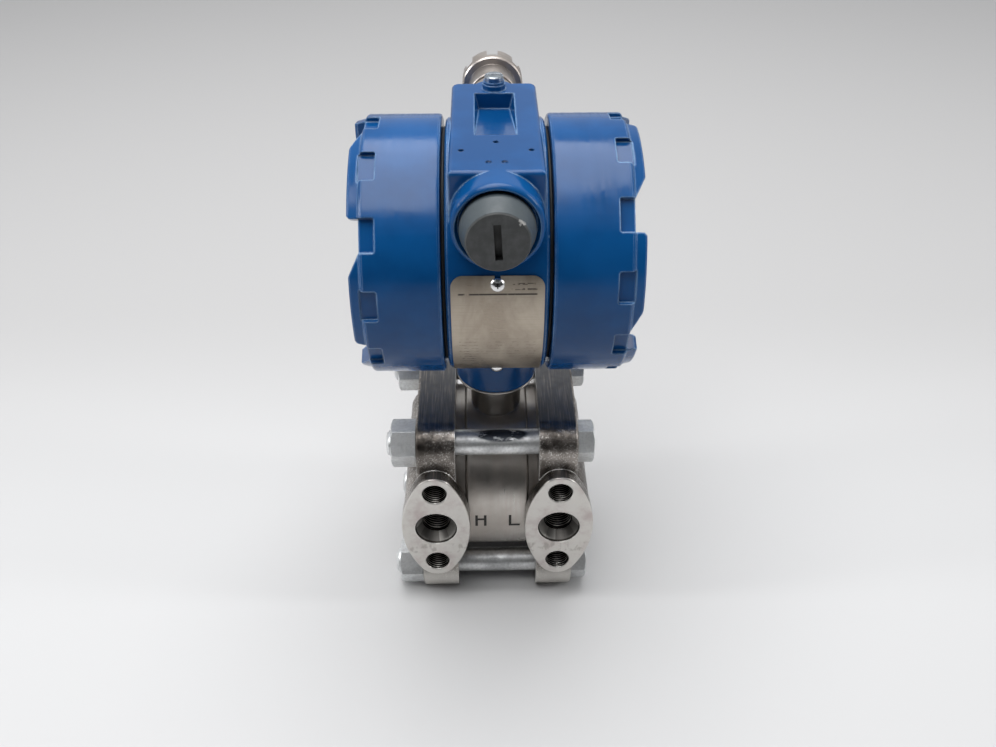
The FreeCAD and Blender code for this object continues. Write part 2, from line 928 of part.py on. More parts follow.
def housing_body():
    neck = cylinder_z(neck_radius, neck_bottom_height, housing_height)
    neck = rounded(neck, neck_edge_round, lambda edge: lies_at(edge, "Z", neck_bottom_height))
    hub = cylinder_z(
        ground_hub_radius,
        block_top_height - 1,
        block_top_height + ground_hub_height,
        0,
        ground_screw_y,
    )
    body = barrel().fuse([top_block(), conduit_boss(-1), conduit_boss(1), neck])
    socket = cylinder_z(
        stem_radius + stem_clearance, neck_bottom_height - 1, stem_top_height + stem_head_room
    )
    tools = [socket, channel_tool(), conduit_tools(-1), conduit_tools(1)]
    body = body.cut(tools + compartment_tools()).fuse(hub)
    return body.cut(fastener_tools()).removeSplitter()


def cover_gap_tool():
    """Cutter between two strap lugs: square at one side, and a long slant at the other."""
    half = cover_lug_outer_radius * math.sin(math.radians(cover_pocket_angle / 2))
    floor = cover_face
    top = cover_face + cover_lug_height
    over = top + 1.5
    slant = half + cover_slant_length * (over - floor) / cover_lug_height
    bottom_radius = cover_lug_outer_radius - cover_lug_width - 4
    points = [
        vec(floor, -half, bottom_radius),
        vec(top - cover_lug_chamfer, -half, bottom_radius),
        vec(top, -half - cover_lug_chamfer, bottom_radius),
        vec(over, -half - cover_lug_chamfer, bottom_radius),
        vec(over, slant, bottom_radius),
        vec(floor, half, bottom_radius),
    ]
    face = Part.Face(Part.makePolygon(points + points[:1]))
    return face.extrude(vec(0, 0, cover_radius - bottom_radius + 5))


def cover_pocket_tool():
    """Shallow pocket in the cover's outer wall, open towards the lugs."""
    half = cover_radius * math.sin(math.radians(cover_pocket_angle / 2))
    start = cover_face - cover_pocket_length
    floor = cover_radius - cover_pocket_depth
    tool = block(start, cover_face + 0.6, -half, half, floor, cover_radius + 2)

    def is_inner_upright(edge):
        box = edge.BoundBox
        return box.ZLength > 1 and box.XMax < start + 0.01

    return rounded(tool, cover_pocket_round, is_inner_upright)


def cover(side, phase):
    """Screwed cover: cup with pockets round its wall and strap lugs on its face."""
    lug_top = cover_face + cover_lug_height
    lug_foot = cover_lug_outer_radius
    lug_crest = cover_lug_outer_radius - cover_lug_draft
    lug_inner = lug_foot - cover_lug_width
    edge = cover_edge_round
    profile = [
        (cover_rim, cover_inner_radius),
        (cover_rim, cover_radius - edge),
        (cover_rim + edge * 0.3, cover_radius - edge * 0.3),
        (cover_rim + edge, cover_radius),
        (cover_face - edge, cover_radius),
        (cover_face - edge * 0.3, cover_radius - edge * 0.4),
        (cover_face + 0.2, lug_foot),
        (lug_top - 0.5, lug_crest),
        (lug_top, lug_crest - 0.5),
        (lug_top, lug_inner),
        (cover_face - cover_disc_recess, lug_inner - 1.5),
        (cover_face - cover_disc_recess, 0),
        (cover_end_inside, 0),
        (cover_end_inside, cover_inner_radius - 1.5),
        (cover_end_inside - 1.5, cover_inner_radius),
    ]
    body = revolve_x(profile)
    tools = []
    for step in range(cover_pocket_count):
        degrees = 360.0 * step / cover_pocket_count
        tools.append(turned_about(cover_pocket_tool(), vec(1, 0, 0), degrees))
    for step in range(cover_gap_count):
        degrees = 360.0 * step / cover_gap_count
        tools.append(turned_about(cover_gap_tool(), vec(1, 0, 0), degrees))
    body = body.cut(tools).removeSplitter()
    # made with a gap at the top, then turned so that one gap stands at the phase angle
    turn = 90.0 - phase
    if side < 0:
        body = turned_about(body, vec(0, 0, 1), 180)
    body = turned_about(body, vec(1, 0, 0), turn)
    return body.translated(vec(0, 0, housing_height))


def cover_o_ring(side):
    ring_radius = spigot_radius + o_ring_clearance + o_ring_section_radius
    x = cover_rim - o_ring_cover_gap - o_ring_section_radius
    return mirrored(torus_x(ring_radius, o_ring_section_radius, x, housing_height), side)


# ---- conduit plug and cable gland ----


def conduit_plug():
    """Slotted plug with a coned head, in the front boss."""
    floor = front_boss_reach - boss_recess_depth
    seat = plug_seat_reach
    thread = conduit_bore_radius - plug_thread_clearance
    edge = plug_edge_round
    profile = [
        (floor - plug_thread_length, 0),
        (floor - plug_thread_length, thread - 1),
        (floor - plug_thread_length + 1, thread),
        (seat, thread),
        (seat, plug_base_radius),
        (seat + plug_base_length, plug_base_radius),
        (plug_reach - edge, plug_face_radius),
        (plug_reach, plug_face_radius - edge),
        (plug_reach, 0),
    ]
    plug = turned_about(revolve_y(profile), vec(0, 0, 1), 180)
    slot = block(
        -plug_slot_width / 2,
        plug_slot_width / 2,
        -plug_reach - 1,
        -plug_reach + plug_slot_depth,
        -plug_slot_length / 2,
        plug_slot_length / 2,
    )
    slot = turned_about(slot, vec(0, 1, 0), -plug_slot_tilt)
    return plug.cut(slot).removeSplitter().translated(vec(0, 0, conduit_height))


def plug_seal():
    floor = front_boss_reach - boss_recess_depth
    inner = conduit_bore_radius + plug_seal_clearance
    outer = plug_base_radius - plug_seal_clearance
    top = floor + plug_seal_thickness
    ring = cylinder_y(outer, -top, -floor, 0, conduit_height)
    return ring.cut(cylinder_y(inner, -top - 1, -floor + 1, 0, conduit_height))


def gland_body():
    """Gland body: thread in the boss, flange with two flats, and the neck for the nut."""
    face = back_boss_reach
    thread = conduit_bore_radius - plug_thread_clearance
    flange_end = face + gland_flange_thickness
    base = face - boss_recess_depth
    profile = [
        (base - gland_thread_length, 0),
        (base - gland_thread_length, thread - 1),
        (base - gland_thread_length + 1, thread),
        (base, thread),
        (base, boss_recess_floor_radius - 1),
        (face, gland_flange_radius),
        (flange_end - 0.5, gland_flange_radius),
        (flange_end, gland_flange_radius - 0.5),
        (flange_end, gland_body_radius),
        (gland_body_reach, gland_body_radius),
        (gland_body_reach, gland_seat_radius),
        (gland_seat_reach, gland_seat_radius),
        (gland_seat_reach, 0),
    ]
    body = revolve_y(profile)
    half = gland_flat_width / 2
    flats = [
        block(half, 2 * half, face, flange_end + 1, -half, half),
        block(-2 * half, -half, face, flange_end + 1, -half, half),
    ]
    bore = cylinder_y(gland_bore_radius, 0, gland_seat_reach + 1)
    pocket = cylinder_y(
        gland_insert_radius + gland_insert_fit,
        gland_seat_reach - gland_insert_length,
        gland_seat_reach + 1,
    )
    return body.cut(flats + [bore, pocket]).removeSplitter().translated(vec(0, 0, conduit_height))


def gland_insert():
    """Rubber bush that grips the cable."""
    start = gland_seat_reach - gland_insert_length
    bush = cylinder_y(gland_insert_radius, start, gland_seat_reach, 0, conduit_height)
    return bush.cut(cylinder_y(gland_bore_radius, start - 1, gland_crown_reach, 0, conduit_height))


def gland_clamp_ring():
    start = gland_seat_reach + gland_clamp_gap
    ring = cylinder_y(gland_seat_radius, start, start + gland_clamp_thickness, 0, conduit_height)
    return ring.cut(cylinder_y(gland_bore_radius, start - 1, gland_crown_reach, 0, conduit_height))


def gland_nut():
    """Compression nut whose rim is a crown of lugs."""
    inner = gland_seat_radius + gland_nut_fit
    start = gland_body_reach + gland_nut_start_gap
    crown_inner = gland_disc_radius - gland_crown_wall
    profile = [
        (start, inner),
        (start, gland_body_radius - 0.4),
        (start + 0.4, gland_body_radius),
        (gland_disc_front, gland_body_radius),
        (gland_disc_front, gland_disc_radius - 0.6),
        (gland_disc_front + 0.6, gland_disc_radius),
        (gland_crown_reach - 0.7, gland_disc_radius),
        (gland_crown_reach, gland_disc_radius - 0.7),
        (gland_crown_reach, crown_inner + 0.4),
        (gland_crown_reach - 0.4, crown_inner),
        (gland_disc_back, crown_inner),
        (gland_disc_back, gland_bore_radius),
        (gland_disc_front, gland_bore_radius),
        (gland_disc_front, inner),
    ]
    nut = revolve_y(profile)
    half = gland_disc_radius * math.sin(math.radians(gland_notch_angle / 2))
    tools = []
    for step in range(gland_lug_count):
        notch = block(
            -half, half, gland_disc_back, gland_crown_reach + 1, crown_inner - 1, gland_disc_radius + 1
        )
        tools.append(turned_about(notch, vec(0, 1, 0), 360.0 * step / gland_lug_count))
    return nut.cut(tools).removeSplitter().translated(vec(0, 0, conduit_height))


# ---- small parts on the housing ----


def slotted_screw(head_radius, head_height, shank_radius, shank_length, slot_width, slot_depth):
    """A screw along +Z whose head starts at z = 0 and whose shank goes down."""
    edge = head_height * 0.2
    profile = [
        (-shank_length, 0),
        (-shank_length, shank_radius * 0.7),
        (-shank_length + shank_radius * 0.3, shank_radius),
        (0, shank_radius),
        (0, head_radius),
        (head_height - edge, head_radius),
        (head_height, head_radius - edge),
        (head_height, 0),
    ]
    screw = revolve_z(profile)
    slot = block(
        -head_radius - 1,
        head_radius + 1,
        -slot_width / 2,
        slot_width / 2,
        head_height - slot_depth,
        head_height + 1,
    )
    return screw.cut(slot).removeSplitter()


def ground_screw():
    seat = block_top_height + ground_hub_height + ground_washer_thickness
    screw = slotted_screw(
        ground_head_radius,
        ground_head_height,
        ground_shank_radius,
        ground_shank_length,
        ground_slot_width,
        ground_slot_depth,
    )
    return screw.translated(vec(0, ground_screw_y, seat))


def ground_washer():
    bottom = block_top_height + ground_hub_height
    top = bottom + ground_washer_thickness
    bore = ground_shank_radius + ground_washer_clearance
    disc = cylinder_z(ground_washer_radius, bottom, top, 0, ground_screw_y)
    hole = cylinder_z(bore, bottom - 1, top + 1, 0, ground_screw_y)
    return disc.cut(hole)


def plate_screw_angles():
    """Angles of the plate's two screws, up from straight ahead."""
    inset = math.degrees(plate_screw_inset / barrel_radius)
    return [plate_top_angle - inset, plate_bottom_angle]


def nameplate():
    """Bent plate with rounded upper corners and a notch at each screw."""
    inner = barrel_radius + plate_paint_gap
    outer = inner + plate_thickness
    band = cylinder_x(outer, -plate_half_width, plate_half_width)
    band = band.cut(cylinder_x(inner, -plate_half_width - 1, plate_half_width + 1))
    reach = 2 * outer
    side = 2 * plate_half_width
    top = math.radians(plate_top_angle)
    bottom = math.radians(plate_bottom_angle)
    points = [
        vec(-side, 0, 0),
        vec(-side, -reach * math.cos(top), reach * math.sin(top)),
        vec(-side, -reach, 0),
        vec(-side, -reach * math.cos(bottom), reach * math.sin(bottom)),
    ]
    wedge = Part.Face(Part.makePolygon(points + points[:1])).extrude(vec(2 * side, 0, 0))
    band = band.common(wedge)
    radius = plate_corner_radius
    inset = math.degrees(radius / outer)
    tools = []
    for x_side in (-1, 1):
        square = block(-radius, 0, -outer - radius, -inner + radius, 0, radius + 0.5)
        if x_side > 0:
            square = square.mirror(vec(0, 0, 0), vec(1, 0, 0))
        square = square.cut(cylinder_y(radius, -2 * outer, 0))
        corner_x = x_side * (plate_half_width - radius)
        tool = square.translated(vec(corner_x, 0, 0))
        tools.append(turned_about(tool, vec(1, 0, 0), -(plate_top_angle - inset)))
    shank = plate_screw_shank_radius + 0.3
    for angle in plate_screw_angles():
        hole = cylinder_y(shank, -outer - radius, -inner + radius)
        tools.append(turned_about(hole, vec(1, 0, 0), -angle))
    notch = block(
        -plate_notch_width / 2,
        plate_notch_width / 2,
        -outer - radius,
        -inner + radius,
        0,
        3 * plate_screw_inset,
    )
    tools.append(turned_about(notch, vec(1, 0, 0), -plate_screw_angles()[0]))
    plate = band.cut(tools).removeSplitter()
    return plate.translated(vec(0, 0, housing_height))


def nameplate_screw(angle):
    """Drive screw with a low domed head."""
    head = plate_screw_head_radius
    rise = plate_screw_head_height
    seat = barrel_radius + plate_paint_gap + plate_thickness
    ball_radius = (head ** 2 + rise ** 2) / (2 * rise)
    dome = Part.makeSphere(ball_radius, vec(0, -(seat + rise - ball_radius), 0))
    dome = dome.common(block(-head - 1, head + 1, -seat - rise - 1, -seat, -head - 1, head + 1))
    shank = cylinder_y(plate_screw_shank_radius, -seat, -barrel_radius + plate_screw_length - 0.5)
    return on_barrel(dome.fuse(shank).removeSplitter(), angle)


def adjuster_bore(x):
    """Stepped bore for a zero or span screw."""
    wide = adjuster_head_radius + adjuster_clearance
    narrow = adjuster_shank_radius + adjuster_clearance
    seat = barrel_radius - adjuster_recess - adjuster_head_height
    bore = cylinder_y(wide, -barrel_radius - 1, -seat + adjuster_clearance, x)
    bore = bore.fuse(cylinder_y(narrow, -seat - 1, -seat + adjuster_shank_length + 1, x))
    return on_barrel(bore, adjuster_angle)


def adjuster_screw(x):
    seat = barrel_radius - adjuster_recess - adjuster_head_height
    screw = slotted_screw(
        adjuster_head_radius,
        adjuster_head_height,
        adjuster_shank_radius,
        adjuster_shank_length,
        adjuster_slot_width,
        adjuster_slot_depth,
    )
    screw = turned_about(screw, vec(1, 0, 0), 90)
    return on_barrel(screw.translated(vec(x, -seat, 0)), adjuster_angle)


# ---- inside the housing ----


def terminal_places():
    """(y, z) of the terminal screws, in a row."""
    first = -terminal_pitch * (terminal_count - 1) / 2
    z = housing_height + terminal_row_height
    return [(first + terminal_pitch * step, z) for step in range(terminal_count)]


def terminal_block():
    """Moulded block on the wall of the field side, with ribs between the terminals."""
    back = -terminal_side_wall
    face = back - terminal_block_thickness
    body = cylinder_x(terminal_block_radius, face, back, 0, housing_height)
    first = -terminal_pitch * terminal_count / 2
    z = housing_height + terminal_row_height
    ribs = []
    for step in range(terminal_count + 1):
        y = first + terminal_pitch * step
        ribs.append(
            block(
                face - terminal_rib_height,
                face + 1,
                y - terminal_rib_width / 2,
                y + terminal_rib_width / 2,
                z - terminal_rib_length / 2,
                z + terminal_rib_length / 2,
            )
        )
    body = body.fuse(ribs)
    tools = []
    for y, hole_z in terminal_places():
        radius = terminal_shank_radius + terminal_fit
        tools.append(cylinder_x(radius, face - 1, face + terminal_shank_length + 0.5, y, hole_z))
    for offset in (-block_screw_height, block_screw_height):
        radius = block_screw_shank_radius + terminal_fit
        tools.append(cylinder_x(radius, face - 1, back + 1, 0, housing_height + offset))
    return body.cut(tools).removeSplitter()


def screw_on_wall(screw, x, y, z):
    """Lay a screw made along +Z so that its head points to -X from place x, y, z."""
    return turned_about(screw, vec(0, 1, 0), -90).translated(vec(x, y, z))


def terminal_screws():
    face = -terminal_side_wall - terminal_block_thickness
    screw = slotted_screw(
        terminal_screw_radius,
        terminal_screw_height,
        terminal_shank_radius,
        terminal_shank_length,
        terminal_slot_width,
        terminal_slot_depth,
    )
    return Part.makeCompound([screw_on_wall(screw, face, y, z) for y, z in terminal_places()])


def block_screws():
    face = -terminal_side_wall - terminal_block_thickness
    screw = slotted_screw(
        block_screw_head_radius,
        block_screw_head_height,
        block_screw_shank_radius - terminal_fit,
        terminal_block_thickness + block_screw_grip - 0.3,
        terminal_slot_width,
        terminal_slot_depth,
    )
    heights = (housing_height - block_screw_height, housing_height + block_screw_height)
    return Part.makeCompound([screw_on_wall(screw, face, 0, z) for z in heights])


def post_places():
    """(y, z) of the board posts."""
    places = []
    for step in range(post_count):
        turn = math.radians(90 + 360.0 * step / post_count)
        y = post_circle_radius * math.cos(turn)
        z = housing_height + post_circle_radius * math.sin(turn)
        places.append((y, z))
    return places


def first_board_x():
    return circuit_side_wall + first_board_stand_off


def second_board_x():
    return first_board_x() + board_thickness + second_board_stand_off


def circuit_board(x):
    board = cylinder_x(board_radius, x, x + board_thickness, 0, housing_height)
    radius = board_screw_shank_radius + board_screw_fit
    holes = [cylinder_x(radius, x - 1, x + board_thickness + 1, y, z) for y, z in post_places()]
    return board.cut(holes)


def board_posts():
    posts = []
    spans = [
        (circuit_side_wall, first_board_x()),
        (first_board_x() + board_thickness, second_board_x()),
    ]
    for start, end in spans:
        for y, z in post_places():
            post = cylinder_x(post_radius, start, end, y, z)
            bore = cylinder_x(board_screw_shank_radius + board_screw_fit, start - 1, end + 1, y, z)
            posts.append(post.cut(bore))
    return Part.makeCompound(posts)


def board_screws():
    seat = second_board_x() + board_thickness
    length = seat - circuit_side_wall + board_screw_grip - 0.5
    screw = slotted_screw(
        board_screw_head_radius,
        board_screw_head_height,
        board_screw_shank_radius - terminal_fit,
        length,
        terminal_slot_width,
        terminal_slot_depth / 2,
    )
    screw = turned_about(screw, vec(0, 1, 0), 90)
    return Part.makeCompound([screw.translated(vec(seat, y, z)) for y, z in post_places()])


def amplifier_parts():
    """Soldered parts on the outer face of the amplifier board."""
    face = second_board_x() + board_thickness
    parts = []
    depth, width, height = transformer_size
    y, z = transformer_place
    z += housing_height
    parts.append(block(face, face + depth, y - width / 2, y + width / 2, z - height / 2, z + height / 2))
    for y, z in capacitor_places:
        parts.append(cylinder_x(capacitor_radius, face, face + capacitor_height, y, housing_height + z))
    depth, width, height = chip_size
    for y, z in chip_places:
        z += housing_height
        parts.append(
            block(face, face + depth, y - width / 2, y + width / 2, z - height / 2, z + height / 2)
        )
    return Part.makeCompound(parts)


def main():
    os.makedirs("parts", exist_ok=True)
    for side, name in ((-1, "high"), (1, "low")):
        save(name + "_flange", flange(side))
        save(name + "_vent_seat", vent_seat(side))
        save(name + "_vent_stem", vent_stem(side))
        save(name + "_end_ring", end_ring(side))
        save(name + "_isolating_diaphragm", isolating_diaphragm(side))
        save(name + "_process_gasket", process_gasket(side))
        save(name + "_cell_half", cell_half(side))
    save("flange_bolts", at_flange_bolts(flange_bolt()))
    save("flange_nuts", at_flange_bolts(flange_nut()))
    save("sensor_module", module_body())
    save("sensing_diaphragm", sensing_diaphragm())
    save("sensor_header", sensor_header())
    save("lock_ring", lock_ring())
    save("housing_body", housing_body())
    save("left_cover", cover(-1, high_cover_phase))
    save("right_cover", cover(1, low_cover_phase))
    save("left_o_ring", cover_o_ring(-1))
    save("right_o_ring", cover_o_ring(1))
    save("conduit_plug", conduit_plug())
    save("plug_seal", plug_seal())
    save("gland_body", gland_body())
    save("gland_insert", gland_insert())
    save("gland_clamp_ring", gland_clamp_ring())
    save("gland_nut", gland_nut())
    save("ground_screw", ground_screw())
    save("ground_washer", ground_washer())
    save("nameplate", nameplate())
    screws = [nameplate_screw(angle) for angle in plate_screw_angles()]
    save("nameplate_screws", Part.makeCompound(screws))
    save("zero_screw", adjuster_screw(-adjuster_offset))
    save("span_screw", adjuster_screw(adjuster_offset))
    save("terminal_block", terminal_block())
    save("terminal_screws", terminal_screws())
    save("block_screws", block_screws())
    save("calibration_board", circuit_board(first_board_x()))
    save("amplifier_board", circuit_board(second_board_x()))
    save("amplifier_parts", amplifier_parts())
    save("board_posts", board_posts())
    save("board_screws", board_screws())


main()
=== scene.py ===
import json
import math
import bpy
import numpy as np
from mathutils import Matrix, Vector


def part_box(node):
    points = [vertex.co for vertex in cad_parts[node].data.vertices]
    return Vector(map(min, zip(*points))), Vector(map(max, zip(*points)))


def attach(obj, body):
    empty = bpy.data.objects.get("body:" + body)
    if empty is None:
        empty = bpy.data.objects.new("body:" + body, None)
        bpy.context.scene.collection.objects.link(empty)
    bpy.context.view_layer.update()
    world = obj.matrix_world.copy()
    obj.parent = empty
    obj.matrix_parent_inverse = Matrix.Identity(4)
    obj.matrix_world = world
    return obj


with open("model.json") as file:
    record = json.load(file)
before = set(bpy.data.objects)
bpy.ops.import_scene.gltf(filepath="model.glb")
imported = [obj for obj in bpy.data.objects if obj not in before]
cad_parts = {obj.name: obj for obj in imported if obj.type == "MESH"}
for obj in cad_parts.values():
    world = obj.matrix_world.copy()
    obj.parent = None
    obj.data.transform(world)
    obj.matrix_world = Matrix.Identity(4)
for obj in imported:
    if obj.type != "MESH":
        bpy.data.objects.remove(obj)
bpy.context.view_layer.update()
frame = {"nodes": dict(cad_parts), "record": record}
record = frame["record"]
nodes = frame["nodes"]
mounts = {mount["name"]: mount for mount in record["mounts"]}
joints = {joint["name"]: joint for joint in record["behaviour"]["joints"]}
print("frame loaded,", len(nodes), "nodes")

millimetre = 0.001
noiseEnds = (0.3, 0.7)  # nearly all of a noise's values lie between these


def newFinish(name):  # a material with its node tree and its main shader
    material = bpy.data.materials.new(name)
    material.use_nodes = True
    tree = material.node_tree
    shader = next(node for node in tree.nodes if node.type == "BSDF_PRINCIPLED")
    return material, tree, shader


def put(tree, kind, feeds=None, **settings):  # one node, its settings, and what feeds its sockets
    node = tree.nodes.new(kind)
    for key, value in settings.items():
        setattr(node, key, value)
    for key, value in (feeds or {}).items():
        if isinstance(value, bpy.types.NodeSocket):
            tree.links.new(value, node.inputs[key])
        else:
            node.inputs[key].default_value = value
    return node


def calc(tree, operation, a, b=0.0):
    return put(tree, "ShaderNodeMath", {0: a, 1: b}, operation=operation).outputs[0]


def times(tree, *values):  # the product of all the values
    product = values[0]
    for value in values[1:]:
        product = calc(tree, "MULTIPLY", product, value)
    return product


def inverse(tree, amount):  # 1 where the amount is 0
    return calc(tree, "SUBTRACT", 1.0, amount)


def vectorCalc(tree, operation, a, b=(0, 0, 0)):
    node = put(tree, "ShaderNodeVectorMath", {0: a, 1: b}, operation=operation)
    number = operation in ("LENGTH", "DISTANCE", "DOT_PRODUCT")
    return node.outputs["Value" if number else "Vector"]


def joined(tree, x, y, z=0.0):
    return put(tree, "ShaderNodeCombineXYZ", {0: x, 1: y, 2: z}).outputs[0]


def splitPoint(tree, point):
    parts = put(tree, "ShaderNodeSeparateXYZ", {0: point})
    return parts.outputs[0], parts.outputs[1], parts.outputs[2]


def diagonal(tree, x, y):  # how far the point (x, y) is from (0, 0)
    return vectorCalc(tree, "LENGTH", joined(tree, x, y))


def spread(tree, value, fromLow, fromHigh, toLow=0.0, toHigh=1.0):
    # carries one range onto another, with soft ends
    return put(tree, "ShaderNodeMapRange",
               {"Value": value, 1: fromLow, 2: fromHigh, 3: toLow, 4: toHigh},
               interpolation_type="SMOOTHSTEP").outputs[0]


def between(tree, value, lowEnds, highEnds):  # 1 from the low ends up to the high ends, 0 outside
    return times(tree, spread(tree, value, *lowEnds), spread(tree, value, *highEnds))


def place(tree, centre=(0, 0, 0), stretch=(1, 1, 1)):
    # a point on the object, measured from a piece's own centre
    coords = put(tree, "ShaderNodeTexCoord")
    moved = vectorCalc(tree, "SUBTRACT", coords.outputs["Object"], tuple(centre))
    return put(tree, "ShaderNodeMapping", {"Vector": moved, "Scale": stretch}).outputs[0]


def clouds(tree, point, scale, detail=3.0, rough=0.55, bend=0.0):
    return put(tree, "ShaderNodeTexNoise",
               {"Vector": point, "Scale": scale, "Detail": detail, "Roughness": rough,
                "Distortion": bend}).outputs["Fac"]


def blendColour(tree, amount, low, high):
    node = put(tree, "ShaderNodeMix", {0: amount}, data_type="RGBA")
    for slotIndex, value in ((6, low), (7, high)):
        if isinstance(value, bpy.types.NodeSocket):
            tree.links.new(value, node.inputs[slotIndex])
        else:
            node.inputs[slotIndex].default_value = (*value, 1)
    return node.outputs[2]


def blendValue(tree, amount, low, high):
    return put(tree, "ShaderNodeMix", {0: amount, 2: low, 3: high}).outputs[0]


def raised(tree, shader, height, depth, under=None):
    # a height of 0 to 1 becomes a bump of that depth in metres, over the normal beneath it
    feeds = {"Height": height, "Distance": depth, "Strength": 1.0}
    if under is not None:
        feeds["Normal"] = under
    bump = put(tree, "ShaderNodeBump", feeds)
    tree.links.new(bump.outputs[0], shader.inputs["Normal"])
    return bump.outputs[0]


def softEdge(tree, radius):  # the shading of an edge rounded by that radius
    return put(tree, "ShaderNodeBevel", {"Radius": radius}, samples=4).outputs[0]


def edgeHighlightMask(tree, soft, amount):
    # a painted highlight mask: the amount along an edge, where the soft normal turns away from the
    # flat one, and 0 elsewhere
    flat = put(tree, "ShaderNodeNewGeometry").outputs["Normal"]
    return spread(tree, vectorCalc(tree, "DOT_PRODUCT", flat, soft), 0.985, 0.80, 0.0, amount)


def coat(finish, *names):  # gives a finish to CAD nodes
    for name in names:
        mesh = nodes[name].data
        mesh.materials.clear()
        mesh.materials.append(finish)


# blue enamel of the housing and the covers

enamel = {"deep": (0.0024, 0.055, 0.186), "light": (0.0036, 0.075, 0.245),
          "cloudScale": 28, "cloudEnds": (0.35, 0.65),
          "chipColour": (0.13, 0.26, 0.44), "chipScale": 190, "chipEnds": (0.16, 0.10),
          "chipPatchScale": 31, "chipPatchEnds": (0.66, 0.70),
          "edge": 0.0011, "highlightShare": 0.85, "edgeHighlightColour": (0.34, 0.56, 0.86),
          "highlightScale": 75, "highlightEnds": (0.3, 0.6, 0.35, 1),
          "rough": (0.12, 0.20), "roughScale": 60, "lineRough": (-0.04, 0.07),
          "lineScale": 1000, "lineStretch": (1, 0.02, 0.02), "skinScale": 700,
          "streak": 0.000012, "peel": 0.00003, "peelScale": 330, "gloss": 0.32}
drilledZone = {"sides": (0.0150, 0.0145), "above": (0.0450, 0.0455),
               "front": (-0.0350, -0.0345), "rear": (-0.0120, -0.0125)}


def blueEnamel(name, centre, streaked):
    # two blues in soft patches, rare chips, and a painted highlight along the edges; a turned
    # piece also has fine streaks
    material, tree, shader = newFinish(name)
    point = place(tree, centre)
    wide = clouds(tree, point, enamel["cloudScale"], 4)
    colour = blendColour(tree, spread(tree, wide, *enamel["cloudEnds"]),
                         enamel["deep"], enamel["light"])
    specks = put(tree, "ShaderNodeTexVoronoi", {"Vector": point, "Scale": enamel["chipScale"]},
                 feature="F1").outputs["Distance"]
    rare = spread(tree, clouds(tree, point, enamel["chipPatchScale"], 2), *enamel["chipPatchEnds"])
    chips = times(tree, spread(tree, specks, *enamel["chipEnds"]), rare)
    colour = blendColour(tree, chips, colour, enamel["chipColour"])
    soft = softEdge(tree, enamel["edge"])
    wornAndSheenPatches = spread(tree, clouds(tree, point, enamel["highlightScale"], 3), *enamel["highlightEnds"])
    # the small holes in the top of the housing get no painted edge highlight and keep dark rims
    x, y, z = splitPoint(tree, point)
    drilled = times(tree, spread(tree, calc(tree, "ABSOLUTE", x), *drilledZone["sides"]),
                    spread(tree, z, *drilledZone["above"]),
                    between(tree, y, drilledZone["front"], drilledZone["rear"]))
    # painted highlight: a pale blue along the edges, in patches
    edgeHighlight = times(tree, edgeHighlightMask(tree, soft, enamel["highlightShare"]), wornAndSheenPatches, inverse(tree, drilled))
    colour = blendColour(tree, edgeHighlight, colour, enamel["edgeHighlightColour"])
    tree.links.new(colour, shader.inputs["Base Color"])
    fine = place(tree, centre, enamel["lineStretch"] if streaked else (1, 1, 1))
    lines = clouds(tree, fine, enamel["lineScale"] if streaked else enamel["skinScale"], 2)
    patches = clouds(tree, point, enamel["roughScale"], 3)
    roughness = calc(tree, "ADD", spread(tree, patches, *noiseEnds, *enamel["rough"]),
                     spread(tree, lines, *noiseEnds, *enamel["lineRough"]))
    tree.links.new(roughness, shader.inputs["Roughness"])
    peel = clouds(tree, point, enamel["peelScale"], 2)
    under = raised(tree, shader, peel, enamel["peel"], soft)
    if streaked:
        raised(tree, shader, lines, enamel["streak"], under)
    shader.inputs["Specular IOR Level"].default_value = enamel["gloss"]
    return material


housingJoint = Vector(joints["left_cover_turn"]["pos_m"])  # on the common axis of both covers
coat(blueEnamel("blueEnamelCast", housingJoint, False), "housing_body", "ground_washer")
coat(blueEnamel("blueEnamelTurned", housingJoint, True), "left_cover", "right_cover")
print("enamel done")


# bare metals: two tones in patches, and a grain drawn out along one direction

turnedSteel = {"dark": (0.40, 0.37, 0.335), "bright": (0.53, 0.505, 0.47),
               "stain": (0.47, 0.40, 0.37), "patchScale": 48, "stretch": (1, 0.06, 0.06),
               "grainScale": 900, "grainShade": 0.35, "rough": (0.30, 0.40),
               "grainRough": 0.03, "depth": 0.000004, "edge": 0.0003}
zincPlate = {"dark": (0.70, 0.71, 0.715), "bright": (0.90, 0.92, 0.92),
             "stain": (0.54, 0.545, 0.545), "patchScale": 110, "stretch": (1, 1, 1),
             "grainScale": 800, "grainShade": 0.4, "rough": (0.42, 0.54),
             "grainRough": 0.05, "depth": 0.00001, "edge": 0.0005}
groundZinc = {**zincPlate, "dark": (0.26, 0.30, 0.34), "bright": (0.50, 0.55, 0.60),
              "rough": (0.26, 0.36)}
nickelBrass = {"dark": (0.40, 0.365, 0.335), "bright": (0.60, 0.565, 0.535),
               "stain": (0.36, 0.28, 0.23), "patchScale": 70, "stretch": (0.05, 1, 0.05),
               "grainScale": 1100, "grainShade": 0.3, "rough": (0.34, 0.46),
               "grainRough": 0.05, "depth": 0.00001, "edge": 0.0004}
yellowBrass = {"dark": (0.60, 0.42, 0.16), "bright": (0.78, 0.58, 0.26),
               "stain": (0.42, 0.28, 0.12), "patchScale": 130, "stretch": (1, 1, 1),
               "grainScale": 900, "grainShade": 0.3, "rough": (0.22, 0.36),
               "grainRough": 0.05, "depth": 0.00001, "edge": 0.0002}
bareAluminium = {"dark": (0.50, 0.50, 0.51), "bright": (0.68, 0.68, 0.69),
                 "stain": (0.40, 0.40, 0.40), "patchScale": 60, "stretch": (1, 0.03, 0.03),
                 "grainScale": 1300, "grainShade": 0.3, "rough": (0.28, 0.40),
                 "grainRough": 0.05, "depth": 0.00001, "edge": 0.0001}
